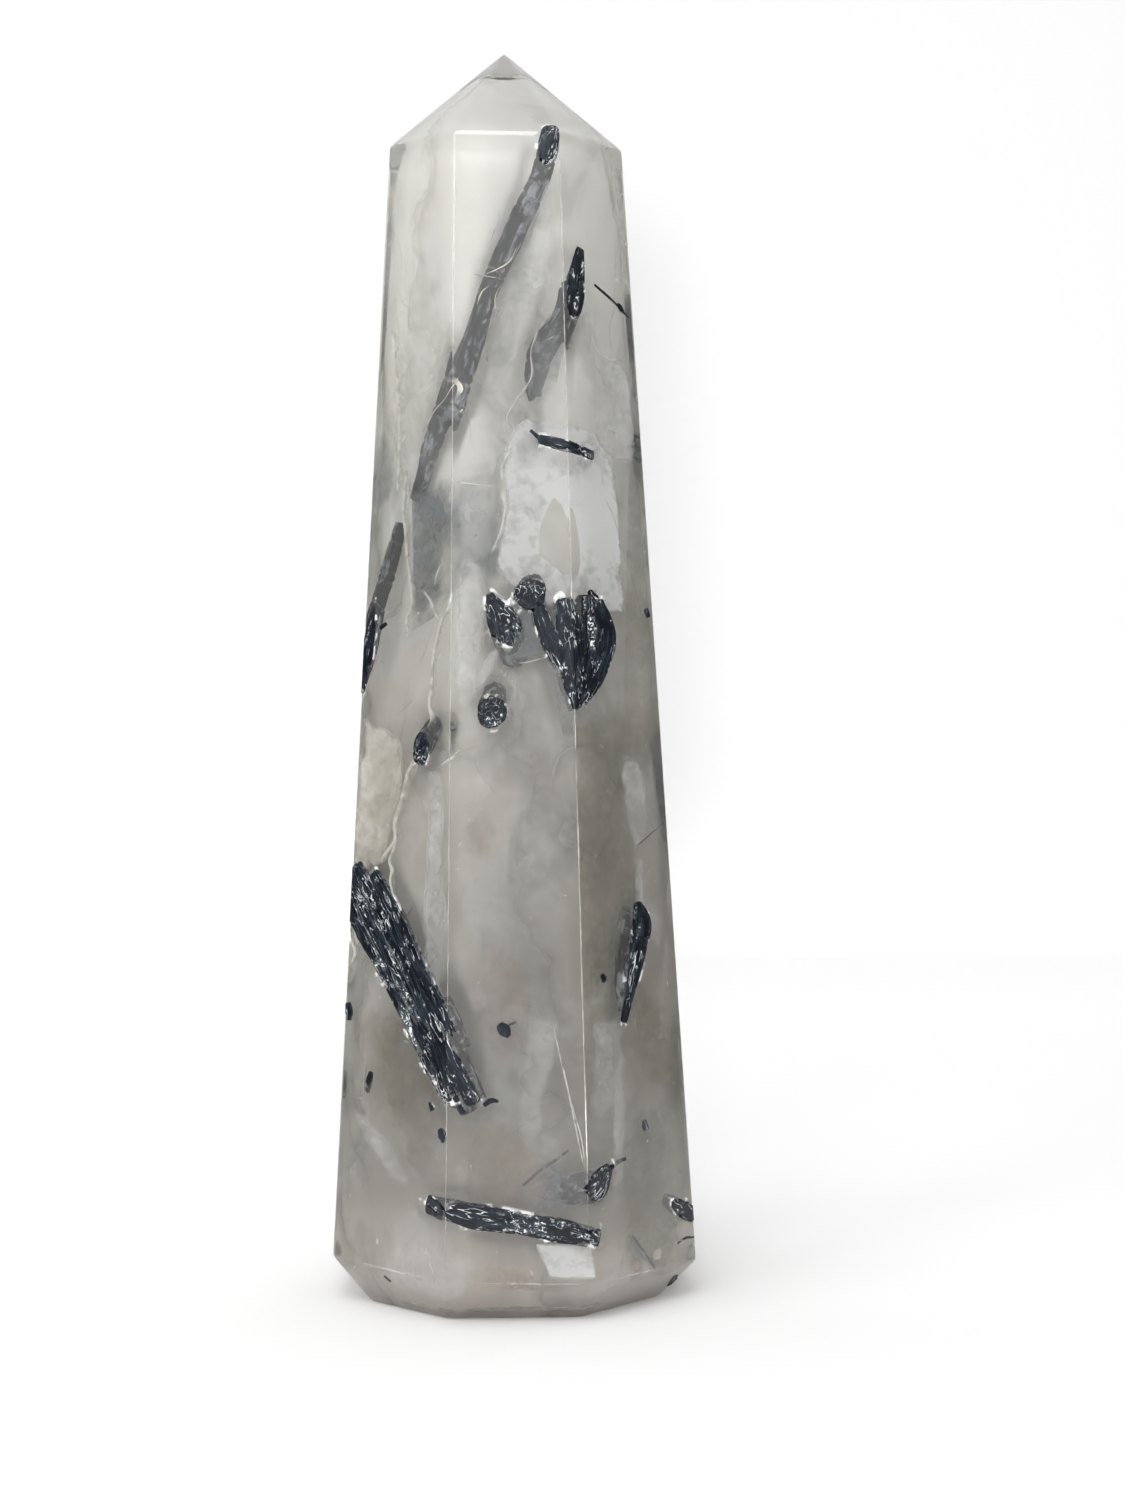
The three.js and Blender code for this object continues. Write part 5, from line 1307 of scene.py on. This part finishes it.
def photo_camera():
    """The photo's viewpoint: 225 mm in front of the axis, level with the lower middle of the stone."""
    pitch, roll, yaw = 0.0042, -0.0079, -0.0435
    turn = Matrix.Rotation(yaw, 3, "Z") @ Matrix.Rotation(pitch, 3, "X")
    right, ahead, up = (turn @ Vector(way) for way in ((1, 0, roll), (0, 1, 0), (-roll, 0, 1)))
    matrix = Matrix((right, up, -ahead)).transposed().to_4x4()
    matrix.translation = Vector((-4.64, -225.2, 51.0)) * MM
    data = bpy.data.cameras.new("photo_camera")
    data.sensor_width = 36.0
    data.lens = 36.0 * 2314 / 1500
    data.sensor_fit = "AUTO"
    data.clip_start = 0.005
    camera = bpy.data.objects.new("photo_camera", data)
    camera.matrix_world = matrix
    bpy.context.scene.collection.objects.link(camera)
    bpy.context.scene.camera = camera


def build():
    quartz, tourmaline = quartz_finish(), [tourmaline_finish(), buried_tourmaline_finish()]
    points, faces, cover = stone_surface()
    stone = make_piece("milky_stone", points, faces, [quartz], "quartz", (("cover", cover),))
    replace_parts(stone, "quartz_obelisk")
    for name, rods in CRYSTALS.items():
        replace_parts(crystal_piece("grown_" + name, rods, tourmaline), name)
    crystal_piece("tourmaline_needles", NEEDLES, tourmaline, 0.1, 16)
    crystal_piece("tourmaline_grains", GRAINS, tourmaline, 0.1, 20)
    cream = veil_finish("cream_crack_and_highlight", (0.96, 0.95, 0.92, 1), (0.93, 0.89, 0.80, 1), 0.8)
    cracks = [crack_sheet(*crack, 100 + number) for number, crack in enumerate(CRACKS)]
    sheet_piece("healed_cracks", [(sheet, 1.4 * fade) for sheet, fade in cracks], cream)
    # Pale lines along the upright edges and the top of the bevel: painted highlights, in the same cream as the cracks.
    painted_highlights = [crack_sheet(*line(face), 60 + face, 1.0) for line in (painted_edge_highlight, painted_bevel_highlight) for face in range(FACES)]
    sheet_piece("painted_edge_highlights", [(sheet, 0.4 * fade) for sheet, fade in painted_highlights], cream)
    sheet_piece("hairlines", hairlines(90, 500), cream)
    finishes = {
        "white": veil_finish("cloudy_veil", (0.95, 0.97, 0.99, 1), (0.91, 0.92, 0.92, 1), 0.16),
        "smoky": veil_finish("smoky_veil", (0.17, 0.20, 0.22, 1), (0.24, 0.26, 0.26, 1), 0.18),
        "olive": veil_finish("olive_veil", (0.30, 0.29, 0.215, 1), (0.37, 0.35, 0.25, 1), 0.20),
        "brown": veil_finish("brown_veil", (0.46, 0.36, 0.28, 1), (0.52, 0.44, 0.37, 1), 0.20),
        "cream": veil_finish("cream_veil", (0.92, 0.90, 0.85, 1), (0.88, 0.83, 0.73, 1), 0.25),
    }
    for number, (name, (corners, finish, *measures)) in enumerate(VEILS.items()):
        sheet = veil_sheet(corners, 300 + 7 * number, *measures)
        sheet_piece(name, [sheet], finishes[finish])
    milk = cloud_finish()
    sheet_piece("milk_curtains", milk_curtains(700), milk)
    sheet_piece("deep_clouds", deep_clouds(12, 900), milk)
    fleck_piece(260, 40, fleck_finish())
    paper_sweep(paper_finish())
    soft_sky(1.0)
    soft_light("key_panel", (-330, -260, 330), (0, 0, 60), 240, 0.7)
    soft_light("top_panel", (-60, -330, 400), (0, 0, 70), 200, 0.82)
    beside_camera_lamp(2.2)
    photo_camera()


build()

scene = bpy.context.scene
scene.view_settings.view_transform = "Standard"
scene.cycles.use_denoising = True
scene.cycles.max_bounces = 14
scene.cycles.transmission_bounces = 12
scene.cycles.glossy_bounces = 8
scene.cycles.diffuse_bounces = 6
scene.cycles.transparent_max_bounces = 24
